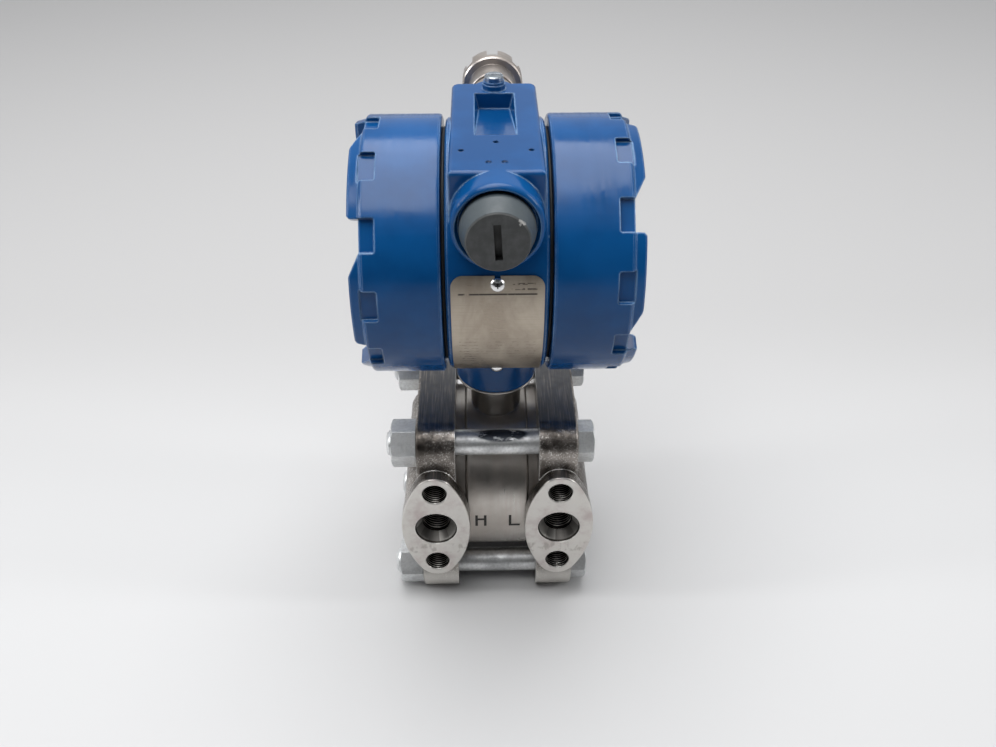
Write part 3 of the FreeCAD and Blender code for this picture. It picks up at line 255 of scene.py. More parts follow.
# the bolt shanks between the flanges are duller, with one dark patch on top of the front upper
# shank: oil, and a painted reflection of the dark housing above; "drop" is its place from the
# middle of the front upper nut: across from the part's middle, forward and up
zincShank = {"dark": (0.55, 0.56, 0.565), "bright": (0.78, 0.79, 0.79),
             "stain": (0.33, 0.33, 0.33), "grainShade": 0.3, "oilAndReflection": (0.05, 0.055, 0.065),
             "drop": (0.002, -0.0015, 0.0062), "squash": (0.42, 1.3, 1.3),
             "rim": (0.0056, 0.0042), "raggedScale": 260, "raggedStretch": (0.4, 1, 1),
             "raggedEnds": (0.36, 0.5), "blend": 0.0002}
patchEnds = (0.32, 0.68)
grainEnds = (0.35, 0.7)


def twoTones(tree, patches, grain, look):  # dark to bright by the patches, stained by the grain
    colour = blendColour(tree, patches, look["dark"], look["bright"])
    shade = spread(tree, grain, *grainEnds, 0, look["grainShade"])
    return blendColour(tree, shade, colour, look["stain"])


def metalFinish(name, look, within=None):
    # within holds a second look, how far it reaches each side of the part's middle, and the place
    # of its dark patch, oil and painted reflection: there the second look takes over
    material, tree, shader = newFinish(name)
    point = place(tree)
    patches = spread(tree, clouds(tree, point, look["patchScale"], 4), *patchEnds)
    grain = clouds(tree, place(tree, stretch=look["stretch"]), look["grainScale"], 3)
    colour = twoTones(tree, patches, grain, look)
    if within:
        inner, reach, darkPatchAt = within
        across, _, _ = splitPoint(tree, point)
        # a ragged dark patch: oil, and a painted reflection of the dark housing above
        offset = vectorCalc(tree, "SUBTRACT", point, darkPatchAt)
        offset = vectorCalc(tree, "MULTIPLY", offset, inner["squash"])
        darkPatch = spread(tree, vectorCalc(tree, "LENGTH", offset), *inner["rim"])
        ragged = clouds(tree, place(tree, stretch=inner["raggedStretch"]), inner["raggedScale"],
                        4, 0.7)
        darkPatch = times(tree, darkPatch, spread(tree, ragged, *inner["raggedEnds"]))
        shank = blendColour(tree, darkPatch, twoTones(tree, patches, grain, inner), inner["oilAndReflection"])
        middle = spread(tree, calc(tree, "ABSOLUTE", across), reach + inner["blend"],
                        reach - inner["blend"])
        colour = blendColour(tree, middle, colour, shank)
    tree.links.new(colour, shader.inputs["Base Color"])
    rough = calc(tree, "ADD", spread(tree, patches, 0, 1, look["rough"][1], look["rough"][0]),
                 spread(tree, grain, *noiseEnds, -look["grainRough"], look["grainRough"]))
    tree.links.new(rough, shader.inputs["Roughness"])
    shader.inputs["Metallic"].default_value = 1.0
    raised(tree, shader, grain, look["depth"], softEdge(tree, look["edge"]))
    return material


def nutCorners():  # the low and high corner of each nut: front or rear, then low or high
    points = np.empty(len(nodes["flange_nuts"].data.vertices) * 3, np.float32)
    nodes["flange_nuts"].data.vertices.foreach_get("co", points)
    points = points.reshape(-1, 3)
    middle = (points.min(0) + points.max(0)) / 2
    corners = []
    for forward in (-1, 1):
        for upward in (-1, 1):
            own = points[((points[:, 1] - middle[1]) * forward > 0)
                         & ((points[:, 2] - middle[2]) * upward > 0)]
            corners.append((own.min(0), own.max(0)))
    return corners


moduleMetal = metalFinish("turnedSteel", turnedSteel)
zincMetal = metalFinish("zincPlate", zincPlate)
shankReach = max(abs(corner.x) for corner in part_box("high_end_ring"))  # half the flanges' gap
frontTop = nutCorners()[1]
darkPatchAt = (zincShank["drop"][0],
            (frontTop[0][1] + frontTop[1][1]) / 2 + zincShank["drop"][1],
            (frontTop[0][2] + frontTop[1][2]) / 2 + zincShank["drop"][2])
boltMetal = metalFinish("zincBolt", zincPlate, (zincShank, shankReach, darkPatchAt))
nickelMetal = metalFinish("nickelBrass", nickelBrass)
brassMetal = metalFinish("yellowBrass", yellowBrass)
aluminiumMetal = metalFinish("bareAluminium", bareAluminium)


# process flanges: cast skin, ground top with a painted dark reflection, smooth sides, a clean
# machined pad, painted shade in the holes and painted highlights along the edges

flangeLook = {"castDark": (0.10, 0.088, 0.078), "castBright": (0.34, 0.31, 0.285),
              "ground": (0.17, 0.17, 0.173), "machined": (0.64, 0.62, 0.585),
              "tint": (0.50, 0.44, 0.425), "holeShade": (0.030, 0.027, 0.024),
              "wall": ((0.36, 0.35, 0.335), (0.50, 0.485, 0.465)),
              "coneShading": ((0.09, 0.085, 0.08), (0.66, 0.64, 0.60)), "facets": 11,
              "rim": (0.92, 0.91, 0.88), "highlightShare": 0.8, "edge": 0.0007,
              "speckle": 1150, "speckleEnds": (0.54, 0.66), "patchScale": 70, "lumpScale": 420,
              "hairScale": 1500, "hairStretch": (1, 0.04, 0.04), "tintScale": 80,
              "stampScale": 330, "stampStretch": (1, 1, 0.5), "stampShare": 0.6,
              "footShare": 0.8, "castRough": (0.28, 0.44), "faceRough": 0.30, "coneRough": 0.50,
              "lumpDepth": 0.00022, "hairDepth": 0.00001}
# where each skin starts and ends: radii from the port and from a bolt hole, depths under the pad
# face, and heights from the port
flangeZone = {"face": (0.0010, 0.0004), "below": (0.0001, 0.0003),
              "sinkRadius": (0.0100, 0.0097), "sinkDepth": (0.0058, 0.0052),
              "mouth": (0.0086, 0.0088), "portRadius": (0.0068, 0.0064),
              "portDepth": (0.0052, 0.0100), "boltRadius": (0.0056, 0.0053),
              "boltDepth": (0.0004, 0.0040), "foot": (-0.030, -0.038), "stampRow": -0.0122,
              "stampHalf": (0.0035, 0.0020), "topTurn": (0.90, 0.97), "wallTurn": (0.95, 0.99)}


def flangeFinish(look, zone):
    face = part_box("high_flange")[0].y
    port, bolts = mounts["high_port"], mounts["high_adapter_bolts"]
    material, tree, shader = newFinish("flangeSteel")
    point = place(tree, (0, face, port["pos_m"][2]))
    x, y, z = splitPoint(tree, point)
    side = calc(tree, "SUBTRACT", calc(tree, "ABSOLUTE", x), abs(port["pos_m"][0]))
    away = diagonal(tree, side, z)
    boltHeight = bolts["dims"]["spacing_y_mm"] / 2 * millimetre
    boltRise = calc(tree, "SUBTRACT", calc(tree, "ABSOLUTE", z), boltHeight)
    boltAway = diagonal(tree, side, boltRise)
    onFace = spread(tree, y, *zone["face"])
    inSink = times(tree, spread(tree, away, *zone["sinkRadius"]),
                   spread(tree, y, *zone["sinkDepth"]))
    below = spread(tree, y, *zone["below"])
    machined = calc(tree, "MAXIMUM", onFace, inSink)
    upX, _, upZ = splitPoint(tree, put(tree, "ShaderNodeTexCoord").outputs["Normal"])
    flatTop = spread(tree, upZ, *zone["topTurn"])
    flatWall = spread(tree, calc(tree, "ABSOLUTE", upX), *zone["wallTurn"])
    # the cast skin is mottled and speckled, and brighter towards the foot
    speckles = clouds(tree, point, look["speckle"], 2, 0.7)
    patches = clouds(tree, point, look["patchScale"], 4)
    lumps = clouds(tree, point, look["lumpScale"], 3)
    hair = clouds(tree, place(tree, stretch=look["hairStretch"]), look["hairScale"], 3)
    cast = blendColour(tree, spread(tree, patches, 0.35, 0.65), look["castDark"],
                       look["castBright"])
    bared = times(tree, spread(tree, speckles, *look["speckleEnds"]),
                  spread(tree, patches, 0.35, 0.55))
    cast = blendColour(tree, bared, cast, look["machined"])
    foot = spread(tree, z, *zone["foot"], 0.0, look["footShare"])
    cast = blendColour(tree, foot, cast, look["machined"])
    # the top has hair lines over a painted dark reflection, and the outer sides are smooth
    ground = blendColour(tree, spread(tree, hair, 0.45, 0.8), look["ground"], look["castBright"])
    colour = blendColour(tree, flatTop, cast, ground)
    wall = blendColour(tree, spread(tree, patches, 0.35, 0.7), *look["wall"])
    colour = blendColour(tree, flatWall, colour, wall)
    # the pad is clean, with a faint row of worn marks
    stamps = clouds(tree, place(tree, stretch=look["stampStretch"]), look["stampScale"], 2)
    fromRow = calc(tree, "ABSOLUTE", calc(tree, "SUBTRACT", z, zone["stampRow"]))
    stampBand = times(tree, spread(tree, fromRow, *zone["stampHalf"]),
                      spread(tree, stamps, 0.50, 0.62))
    tinted = spread(tree, clouds(tree, point, look["tintScale"], 4, 0.65), 0.42, 0.72)
    bright = blendColour(tree, tinted, look["machined"], look["tint"])
    bright = blendColour(tree, times(tree, stampBand, look["stampShare"]), bright,
                         look["castBright"])
    # the cone was cut in steps into flat sectors; each sector gets a random tone, a painted
    # reflection, and a painted shadow darkens its mouth
    turn = times(tree, calc(tree, "ARCTAN2", z, side), look["facets"] / (2 * math.pi))
    tone = put(tree, "ShaderNodeTexWhiteNoise", {"W": calc(tree, "FLOOR", turn)},
               noise_dimensions="1D").outputs["Value"]
    mouth = times(tree, spread(tree, away, *zone["mouth"]), below)
    coneShading = blendColour(tree, mouth, blendColour(tree, tone, *look["coneShading"]), look["holeShade"])
    inCone = times(tree, inSink, below)
    colour = blendColour(tree, machined, colour, blendColour(tree, inCone, bright, coneShading))
    # painted shade inside the port and the adapter bolt holes; the bolt holes' mask has no far
    # limit, so its shade also lands on the flanges' rear faces behind them
    inPort = times(tree, spread(tree, away, *zone["portRadius"]),
                   spread(tree, y, *zone["portDepth"]))
    inBolt = times(tree, spread(tree, boltAway, *zone["boltRadius"]),
                   spread(tree, y, *zone["boltDepth"]))
    colour = blendColour(tree, calc(tree, "MAXIMUM", inPort, inBolt), colour, look["holeShade"])
    soft = softEdge(tree, look["edge"])
    # painted highlight: a near-white rim along the edges
    colour = blendColour(tree, edgeHighlightMask(tree, soft, look["highlightShare"]), colour, look["rim"])
    tree.links.new(colour, shader.inputs["Base Color"])
    rough = blendValue(tree, onFace, spread(tree, lumps, *noiseEnds, *look["castRough"]),
                       look["faceRough"])
    tree.links.new(blendValue(tree, inCone, rough, look["coneRough"]), shader.inputs["Roughness"])
    shader.inputs["Metallic"].default_value = 1.0
    flat = calc(tree, "MAXIMUM", flatTop, flatWall)
    skin = times(tree, lumps, inverse(tree, calc(tree, "MAXIMUM", machined, flat)))
    under = raised(tree, shader, skin, look["lumpDepth"], soft)
    raised(tree, shader, times(tree, hair, flat), look["hairDepth"], under)
    return material


coat(flangeFinish(flangeLook, flangeZone), "high_flange", "low_flange")
coat(moduleMetal, "sensor_module", "high_end_ring", "low_end_ring", "high_cell_half",
     "low_cell_half", "sensing_diaphragm", "high_isolating_diaphragm", "low_isolating_diaphragm",
     "lock_ring", "high_vent_seat", "low_vent_seat", "high_vent_stem", "low_vent_stem")
coat(boltMetal, "flange_bolts")
coat(zincMetal, "flange_nuts", "terminal_screws", "block_screws", "board_screws")
coat(metalFinish("groundZinc", groundZinc), "ground_screw")
coat(nickelMetal, "gland_body", "gland_clamp_ring", "gland_nut")
coat(brassMetal, "sensor_header", "zero_screw", "span_screw", "board_posts")
print("metals done")


# rubber and mouldings

sealRubber = {"dark": (0.012, 0.012, 0.013), "light": (0.028, 0.028, 0.030), "patchScale": 90,
              "skinScale": 1200, "rough": (0.48, 0.62), "depth": 0.00002}
blackMoulding = {"dark": (0.016, 0.016, 0.018), "light": (0.026, 0.026, 0.028), "patchScale": 70,
                 "skinScale": 900, "rough": (0.38, 0.50), "depth": 0.00002}
chipBlack = {"dark": (0.020, 0.020, 0.022), "light": (0.034, 0.034, 0.036), "patchScale": 120,
             "skinScale": 1500, "rough": (0.36, 0.48), "depth": 0.00001}


def dullFinish(name, look):  # a moulded surface: two close tones in patches, and a fine skin
    material, tree, shader = newFinish(name)
    point = place(tree)
    patches = spread(tree, clouds(tree, point, look["patchScale"], 4), *noiseEnds)
    skin = clouds(tree, point, look["skinScale"], 2)
    tree.links.new(blendColour(tree, patches, look["dark"], look["light"]),
                   shader.inputs["Base Color"])
    rough = calc(tree, "ADD", spread(tree, patches, 0, 1, *look["rough"]),
                 spread(tree, skin, *noiseEnds, -0.04, 0.04))
    tree.links.new(rough, shader.inputs["Roughness"])
    raised(tree, shader, skin, look["depth"])
    return material


coat(dullFinish("sealRubber", sealRubber), "high_process_gasket", "low_process_gasket",
     "left_o_ring", "right_o_ring", "plug_seal", "gland_insert")
coat(dullFinish("blackMoulding", blackMoulding), "terminal_block")
coat(dullFinish("chipBlack", chipBlack), "amplifier_parts")


# circuit boards

boardLook = {"mask": (0.010, 0.085, 0.040), "track": (0.020, 0.150, 0.070), "pitch": 400,
             "line": 0.10, "breakScale": 120, "breakEnds": (0.45, 0.55), "rough": (0.28, 0.40),
             "depth": 0.00004}


def boardFinish(look):
    # green lacquer over tracks: a brick-like lattice of lines whose courses are broken by noise
    material, tree, shader = newFinish("boardLacquer")
    _, across, up = splitPoint(tree, place(tree))
    flat = joined(tree, across, up)
    lattice = put(tree, "ShaderNodeTexBrick",
                  {"Vector": flat, "Scale": look["pitch"], "Mortar Size": look["line"],
                   "Color1": (0, 0, 0, 1), "Color2": (0, 0, 0, 1),
                   "Mortar": (1, 1, 1, 1)}).outputs[0]
    broken = spread(tree, clouds(tree, flat, look["breakScale"], 2), *look["breakEnds"])
    tracks = times(tree, lattice, broken)
    tree.links.new(blendColour(tree, tracks, look["mask"], look["track"]),
                   shader.inputs["Base Color"])
    tree.links.new(spread(tree, broken, 0, 1, *look["rough"]), shader.inputs["Roughness"])
    raised(tree, shader, tracks, look["depth"])
    return material


coat(boardFinish(boardLook), "calibration_board", "amplifier_board")


# conduit plug: charcoal face, lighter side, one chipped place on the rim

plugLook = {"face": (0.040, 0.043, 0.044), "faceLight": (0.075, 0.078, 0.080),
            "side": (0.056, 0.070, 0.078), "slot": (0.002, 0.002, 0.002),
            "bare": (0.34, 0.34, 0.33), "chipAt": (0.0086, 0.0, 0.0078), "chipSize": 0.0014,
            "chipRagged": 0.0009, "chipScale": 900, "mottleScale": 260, "rough": (0.42, 0.58),
            "skinScale": 700, "skinDepth": 0.00005}
plugZone = {"sideDepth": (0.0002, 0.0007), "sideRadius": (0.0080, 0.0085),
            "slotDepth": (0.0001, 0.0006), "slotRadius": (0.0080, 0.0076)}


def plugFinish(look, zone):
    low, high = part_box("conduit_plug")
    centre = (low + high) / 2
    centre.y = low.y
    material, tree, shader = newFinish("plugCharcoal")
    point = place(tree, centre)
    x, y, z = splitPoint(tree, point)
    radius = diagonal(tree, x, z)
    mottle = clouds(tree, point, look["mottleScale"], 4)
    colour = blendColour(tree, spread(tree, mottle, 0.35, 0.75), look["face"], look["faceLight"])
    onSide = times(tree, spread(tree, y, *zone["sideDepth"]),
                   spread(tree, radius, *zone["sideRadius"]))
    colour = blendColour(tree, onSide, colour, look["side"])
    # painted shade: near black inside the slot's hollow
    inSlot = times(tree, spread(tree, y, *zone["slotDepth"]),
                   spread(tree, radius, *zone["slotRadius"]))
    colour = blendColour(tree, inSlot, colour, look["slot"])
    away = vectorCalc(tree, "DISTANCE", point, look["chipAt"])
    ragged = spread(tree, clouds(tree, point, look["chipScale"], 3), *noiseEnds,
                    -look["chipRagged"], look["chipRagged"])
    bare = spread(tree, calc(tree, "ADD", away, ragged), look["chipSize"], look["chipSize"] * 0.7)
    colour = blendColour(tree, bare, colour, look["bare"])
    tree.links.new(colour, shader.inputs["Base Color"])
    tree.links.new(bare, shader.inputs["Metallic"])
    tree.links.new(spread(tree, mottle, *noiseEnds, *look["rough"]), shader.inputs["Roughness"])
    raised(tree, shader, clouds(tree, point, look["skinScale"], 3), look["skinDepth"])
    return material


coat(plugFinish(plugLook, plugZone), "conduit_plug")


# nameplate: brushed, browned, with a rule and rows of worn blocks that say nothing; angles are in
# degrees round the covers' axis, up from level

plateLook = {"pale": (0.50, 0.44, 0.365), "brown": (0.34, 0.29, 0.235),
             "ink": (0.045, 0.035, 0.028), "topAngle": 16.7, "bottomAngle": -52.7,
             "brownScale": 2.2, "brownEnds": (0.34, 0.66), "brushStretch": (3.0, 160.0, 1.0),
             "brushShade": 0.5, "brushRough": 0.07, "brushDepth": 0.00002, "rough": (0.30, 0.46),
             "rows": 30, "columns": 38.0, "inkShare": 0.8}
# where the print is, across and up the plate from 0 to 1, and inside one row from 0 to 1
plateZone = {"row": ((0.30, 0.38), (0.72, 0.64)), "margin": ((0.07, 0.09), (0.93, 0.91)),
             "lower": ((0.05, 0.06), (0.56, 0.54)), "lowerLean": (0.1, 0.5, 0, 0.35),
             "lowerFade": (0.55, 0.40, 0.30, 1.0), "upper": ((0.905, 0.915), (0.975, 0.965)),
             "upperFrom": (0.62, 0.66), "ruleAt": 0.885, "ruleHalf": (0.0065, 0.0040),
             "ruleScale": 9, "ruleEnds": (0.36, 0.46), "wornScale": 7.0, "wornEnds": (0.40, 0.50),
             "blockEnds": (0.42, 0.47)}


def share(tree, value, low, high):  # 0 at the low value and 1 at the high one, in a straight line
    return put(tree, "ShaderNodeMapRange",
               {"Value": value, 1: low, 2: high, 3: 0.0, 4: 1.0}).outputs[0]


def plateFinish(look, zone):
    low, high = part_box("nameplate")
    material, tree, shader = newFinish("plateBrushed")
    x, y, z = splitPoint(tree, place(tree, housingJoint))
    angle = calc(tree, "ARCTAN2", z, times(tree, y, -1.0))
    height = share(tree, angle, math.radians(look["bottomAngle"]), math.radians(look["topAngle"]))
    across = share(tree, x, low.x, high.x)
    flat = joined(tree, across, height)
    wide = clouds(tree, flat, look["brownScale"], 5, 0.6, 0.4)
    colour = blendColour(tree, spread(tree, wide, *look["brownEnds"]), look["brown"],
                         look["pale"])
    brushed = put(tree, "ShaderNodeMapping", {"Vector": flat, "Scale": look["brushStretch"]})
    hair = clouds(tree, brushed.outputs[0], 1.0, 4, 0.6)
    rows = calc(tree, "FRACT", times(tree, height, look["rows"]))
    blocks = put(tree, "ShaderNodeMapping",
                 {"Vector": flat, "Scale": (look["columns"], look["rows"] * 2.0, 1.0)})
    cells = put(tree, "ShaderNodeTexWhiteNoise",
                {"Vector": vectorCalc(tree, "FLOOR", blocks.outputs[0])},
                noise_dimensions="2D").outputs[0]
    wornAndSheenPatches = spread(tree, clouds(tree, flat, zone["wornScale"], 4, 0.7), *zone["wornEnds"])
    margin = between(tree, across, *zone["margin"])
    lean = calc(tree, "ADD", across, spread(tree, height, *zone["lowerLean"]))
    lower = times(tree, between(tree, height, *zone["lower"]),
                  spread(tree, lean, *zone["lowerFade"]))
    upper = times(tree, between(tree, height, *zone["upper"]),
                  spread(tree, across, *zone["upperFrom"]))
    ink = times(tree, between(tree, rows, *zone["row"]), spread(tree, cells, *zone["blockEnds"]),
                wornAndSheenPatches, margin, calc(tree, "MAXIMUM", lower, upper))
    fromRule = calc(tree, "ABSOLUTE", calc(tree, "SUBTRACT", height, zone["ruleAt"]))
    broken = spread(tree, clouds(tree, flat, zone["ruleScale"], 3), *zone["ruleEnds"])
    rule = times(tree, spread(tree, fromRule, *zone["ruleHalf"]), margin, broken)
    brushShade = spread(tree, hair, 0.5, 0.8, 0, look["brushShade"])
    colour = blendColour(tree, brushShade, colour, look["brown"])
    ink = calc(tree, "MAXIMUM", times(tree, ink, look["inkShare"]), rule)
    colour = blendColour(tree, ink, colour, look["ink"])
    tree.links.new(colour, shader.inputs["Base Color"])
    tree.links.new(inverse(tree, ink), shader.inputs["Metallic"])
    rough = calc(tree, "ADD", spread(tree, wide, *noiseEnds, *look["rough"]),
                 spread(tree, hair, *noiseEnds, -look["brushRough"], look["brushRough"]))
    tree.links.new(rough, shader.inputs["Roughness"])
    raised(tree, shader, hair, look["brushDepth"])
    return material


coat(plateFinish(plateLook, plateZone), "nameplate")


# nameplate screws: one under the plate's upper edge and one at its lower edge, each with a dark
# cross on its head, painted shade standing in for the pressed cross recess

crossLook = {"bright": (0.80, 0.80, 0.80), "dark": (0.06, 0.06, 0.06), "arm": 0.0011,
             "half": 0.00022, "inset": 3.93, "rough": 0.22}


def crossFinish(look):
    # from each screw's middle, one bar of the cross runs along the covers' axis and one round it
    material, tree, shader = newFinish("platedScrew")
    x, y, z = splitPoint(tree, place(tree, housingJoint))
    reach = diagonal(tree, y, z)
    angle = calc(tree, "ARCTAN2", z, times(tree, y, -1.0))
    along = []
    for degrees in (plateLook["topAngle"] - look["inset"], plateLook["bottomAngle"]):
        turn = calc(tree, "SUBTRACT", angle, math.radians(degrees))
        along.append(calc(tree, "ABSOLUTE", times(tree, turn, reach)))
    up, side = calc(tree, "MINIMUM", *along), calc(tree, "ABSOLUTE", x)
    bars = [times(tree, spread(tree, across, look["half"] * 1.5, look["half"] * 0.8),
                  spread(tree, lengthwise, look["arm"], look["arm"] * 0.85))
            for across, lengthwise in ((up, side), (side, up))]
    # painted shade: the dark bars stand in for the cross recess
    cross = calc(tree, "MAXIMUM", *bars)
    tree.links.new(blendColour(tree, cross, look["bright"], look["dark"]),
                   shader.inputs["Base Color"])
    shader.inputs["Metallic"].default_value = 1.0
    shader.inputs["Roughness"].default_value = look["rough"]
    return material


coat(crossFinish(crossLook), "nameplate_screws")
print("mouldings, boards, plug and plate done")


# new pieces, as surfaces on grids

def addPiece(name, grids, finish, body):
    # each grid is rows by columns by three; a closed one wraps round in both directions, so that
    # it makes a ring-shaped skin; a fourth number at each point is kept as the attribute rise
    points, faces, start = [], [], 0
    rises = [grid[..., 3].ravel() for grid, _ in grids if grid.shape[2] > 3]
    for grid, closed in grids:
        grid = grid[..., :3]
        rows, columns = grid.shape[:2]
        index = start + np.arange(rows * columns).reshape(rows, columns)
        if closed:
            right, down = np.roll(index, -1, 1), np.roll(index, -1, 0)
            quads = np.stack([index, right, np.roll(right, -1, 0), down], -1)
        else:
            quads = np.stack([index[:-1, :-1], index[:-1, 1:], index[1:, 1:], index[1:, :-1]], -1)
        points.append(grid.reshape(-1, 3))
        faces.append(quads.reshape(-1, 4))
        start += rows * columns
    points, faces = np.concatenate(points), np.concatenate(faces)
    mesh = bpy.data.meshes.new(name)
    mesh.vertices.add(len(points))
    mesh.vertices.foreach_set("co", points.astype(np.float32).ravel())
    mesh.loops.add(faces.size)
    mesh.loops.foreach_set("vertex_index", faces.astype(np.int32).ravel())
    mesh.polygons.add(len(faces))
    mesh.polygons.foreach_set("loop_start", np.arange(0, faces.size, 4, dtype=np.int32))
    mesh.polygons.foreach_set("loop_total", np.full(len(faces), 4, np.int32))
    mesh.polygons.foreach_set("use_smooth", np.full(len(faces), True))
    mesh.update(calc_edges=True)
    if rises:
        rise = mesh.attributes.new("rise", "FLOAT", "POINT")
        rise.data.foreach_set("value", np.concatenate(rises).astype(np.float32))
    mesh.materials.append(finish)
    piece = bpy.data.objects.new(name, mesh)
    bpy.context.scene.collection.objects.link(piece)
    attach(piece, body)


def basis(axis):  # an axis and two directions square to it
    axis = np.array(axis, float)
    side = np.array((1.0, 0, 0)) if abs(axis[0]) < 0.9 else np.array((0, 1.0, 0))
    first = np.cross(axis, side)
    first /= np.linalg.norm(first)
    return axis, first, np.cross(axis, first)


threadShape = {"perTurn": 8, "fade": 0.6, "sharpness": 1.5, "skin": 0.00002}


def threadGrid(start, axis, length, radius, depth, pitch, outward, around=72, wall=0.0003):
    # a tube whose radius rises by depth times a rounded tooth, (0.5 + 0.5 cos(full turn * phase))
    # to the power of the sharpness, where phase is (distance - pitch * angle / full turn) / pitch;
    # it fades at both ends, then runs back inside the wall, so that the profile closes on itself
    axis, first, second = basis(axis)
    steps = max(6, int(length / pitch * threadShape["perTurn"]))
    along = np.linspace(0, length, steps)[:, None]
    angle = np.linspace(0, 2 * math.pi, around, endpoint=False)[None, :]
    phase = (along - pitch * angle / (2 * math.pi)) / pitch
    tooth = (0.5 + 0.5 * np.cos(2 * math.pi * phase)) ** threadShape["sharpness"]
    fade = np.clip(np.minimum(along, length - along) / (threadShape["fade"] * pitch), 0, 1)
    sign = 1 if outward else -1
    radii = radius + sign * (threadShape["skin"] + depth * tooth * fade)
    radii = np.concatenate([radii, np.full((2, around), radius - sign * wall)])
    rise = np.concatenate([tooth * fade, np.zeros((2, around))])
    along = np.concatenate([along, [[length - wall / 4], [wall / 4]]]) + np.zeros((1, around))
    angle = angle + np.zeros((len(along), 1))
    round1, round2 = np.cos(angle)[..., None] * first, np.sin(angle)[..., None] * second
    grid = np.array(start) + along[..., None] * axis + radii[..., None] * (round1 + round2)
    grid = np.concatenate([grid, rise[..., None]], -1)
    return (grid if outward else grid[:, ::-1]), True


# threads in the process ports and the adapter bolt holes

threadLook = {"rootShade": (0.012, 0.010, 0.009), "crest": (0.62, 0.60, 0.56), "rough": 0.36,
              "mottleScale": 260, "mottle": 0.12, "crestEnds": (0.45, 0.95)}


def threadFinish(look):  # the roots are painted in shade, and the crests show the bare steel
    material, tree, shader = newFinish("threadSteel")
    rise = put(tree, "ShaderNodeAttribute", attribute_name="rise").outputs["Fac"]
    mottle = spread(tree, clouds(tree, place(tree), look["mottleScale"], 3), *noiseEnds,
                  -look["mottle"], look["mottle"])
    # painted shade in the thread roots, darkest where the rise attribute is low
    crest = spread(tree, calc(tree, "ADD", rise, mottle), *look["crestEnds"])
    tree.links.new(blendColour(tree, crest, look["rootShade"], look["crest"]),
                   shader.inputs["Base Color"])
    shader.inputs["Metallic"].default_value = 1.0
    shader.inputs["Roughness"].default_value = look["rough"]
    return material


portThread = {"pitch": 0.00141, "depth": 0.00060, "lead": 0.0001, "adapterPitch": 0.00127,
              "adapterDepth": 0.00045, "adapterLength": 0.0140}


def portThreads():
    grids = []
    for side in ("high", "low"):
        port = mounts[side + "_port"]
        length = port["dims"]["length_mm"] * millimetre
        axis = Vector(port["axis"])
        start = Vector(port["pos_m"]) - axis * (length / 2)
        grids.append(threadGrid(start, axis, length - portThread["lead"],
                                port["dims"]["r_mm"] * millimetre, portThread["depth"],
                                portThread["pitch"], False))
        bolts = mounts[side + "_adapter_bolts"]
        for way in (-1, 1):
            rise = way * bolts["dims"]["spacing_y_mm"] / 2 * millimetre
            mouth = Vector(bolts["pos_m"]) + Vector((0, 0, rise))
            depth = portThread["adapterLength"]
            grids.append(threadGrid(mouth - axis * depth, axis, depth,
                                    bolts["dims"]["hole_r_mm"] * millimetre,
                                    portThread["adapterDepth"], portThread["adapterPitch"],
                                    False))
    addPiece("portThreads", grids, threadFinish(threadLook), "base")


# threads on the housing's two necks and inside the covers; "end" is from the part's middle

coverThread = {"lead": 0.003, "spigotDepth": 0.00022, "coverDepth": 0.00018,
               "spigotRadius": 0.0446, "coverRadius": 0.0451, "end": 0.0420, "sealGap": 0.0015,
               "around": 144}


def coverThreads():
    spigots = []
    lead, around = coverThread["lead"], coverThread["around"]
    for side, way in (("left", -1), ("right", 1)):
        axis = Vector((way, 0, 0))
        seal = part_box(side + "_o_ring")
        face = abs(seal[1].x if way > 0 else seal[0].x) + coverThread["sealGap"]
        start = housingJoint + axis * face
        length = coverThread["end"] - face
        spigots.append(threadGrid(start, axis, length, coverThread["spigotRadius"],
                                  coverThread["spigotDepth"], lead, True, around))
        grid = threadGrid(start + axis * lead, axis, length - lead, coverThread["coverRadius"],
                          coverThread["coverDepth"], lead, False, around)
        addPiece(side + "CoverThread", [grid], aluminiumMetal, side + "_cover")
    addPiece("spigotThreads", spigots, aluminiumMetal, "housing")


# threads on the bolt ends that stand beyond their nuts

boltThread = {"pitch": 0.0018, "depth": 0.0004, "radius": 0.00555, "endGap": 0.0006,
              "inNut": 0.0002, "shortest": 0.0005, "around": 48, "wall": 0.0002}


def boltThreads():
    low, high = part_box("flange_bolts")
    grids = []
    for corner, opposite in nutCorners():
        centre = (corner + opposite) / 2
        way = -1 if centre[0] < 0 else 1
        outside, end = (corner[0], low.x) if way < 0 else (opposite[0], high.x)
        length = abs(end - outside) - boltThread["endGap"]
        if length > boltThread["shortest"]:
            start = (outside - way * boltThread["inNut"], centre[1], centre[2])
            grids.append(threadGrid(start, (way, 0, 0), length,
                                    boltThread["radius"] - boltThread["depth"],
                                    boltThread["depth"], boltThread["pitch"], True,
                                    boltThread["around"], boltThread["wall"]))
    if grids:
        addPiece("boltThreads", grids, zincMetal, "base")


portThreads()
coverThreads()
boltThreads()
print("threads done")


# the two letters stamped on the module: H for the high side and L for the low side

stampLook = {"height": 0.0088, "stroke": 0.00115, "highAt": -0.0073, "lowAt": 0.0076,
             "width": 0.0050, "drop": 0.0006, "lift": 0.00003, "ink": (0.008, 0.007, 0.006),
             "inkLight": (0.02, 0.018, 0.016), "inkScale": 900, "rough": 0.6}


def strokeGrid(left, right, bottom, top, radius, centre):
    # a strip bent round the module: across is along the axis, height turns into an angle of
    # height / radius
    across = np.linspace(left, right, 5)[None, :]
    up = np.linspace(bottom, top, 9)[:, None]
    angle = up / radius
    reach = radius + stampLook["lift"]
    x = across + np.zeros_like(up)
    y = centre[1] - reach * np.cos(angle) + np.zeros_like(across)
    z = centre[2] + reach * np.sin(angle) + np.zeros_like(across)
    return np.stack([x, y, z], -1), False


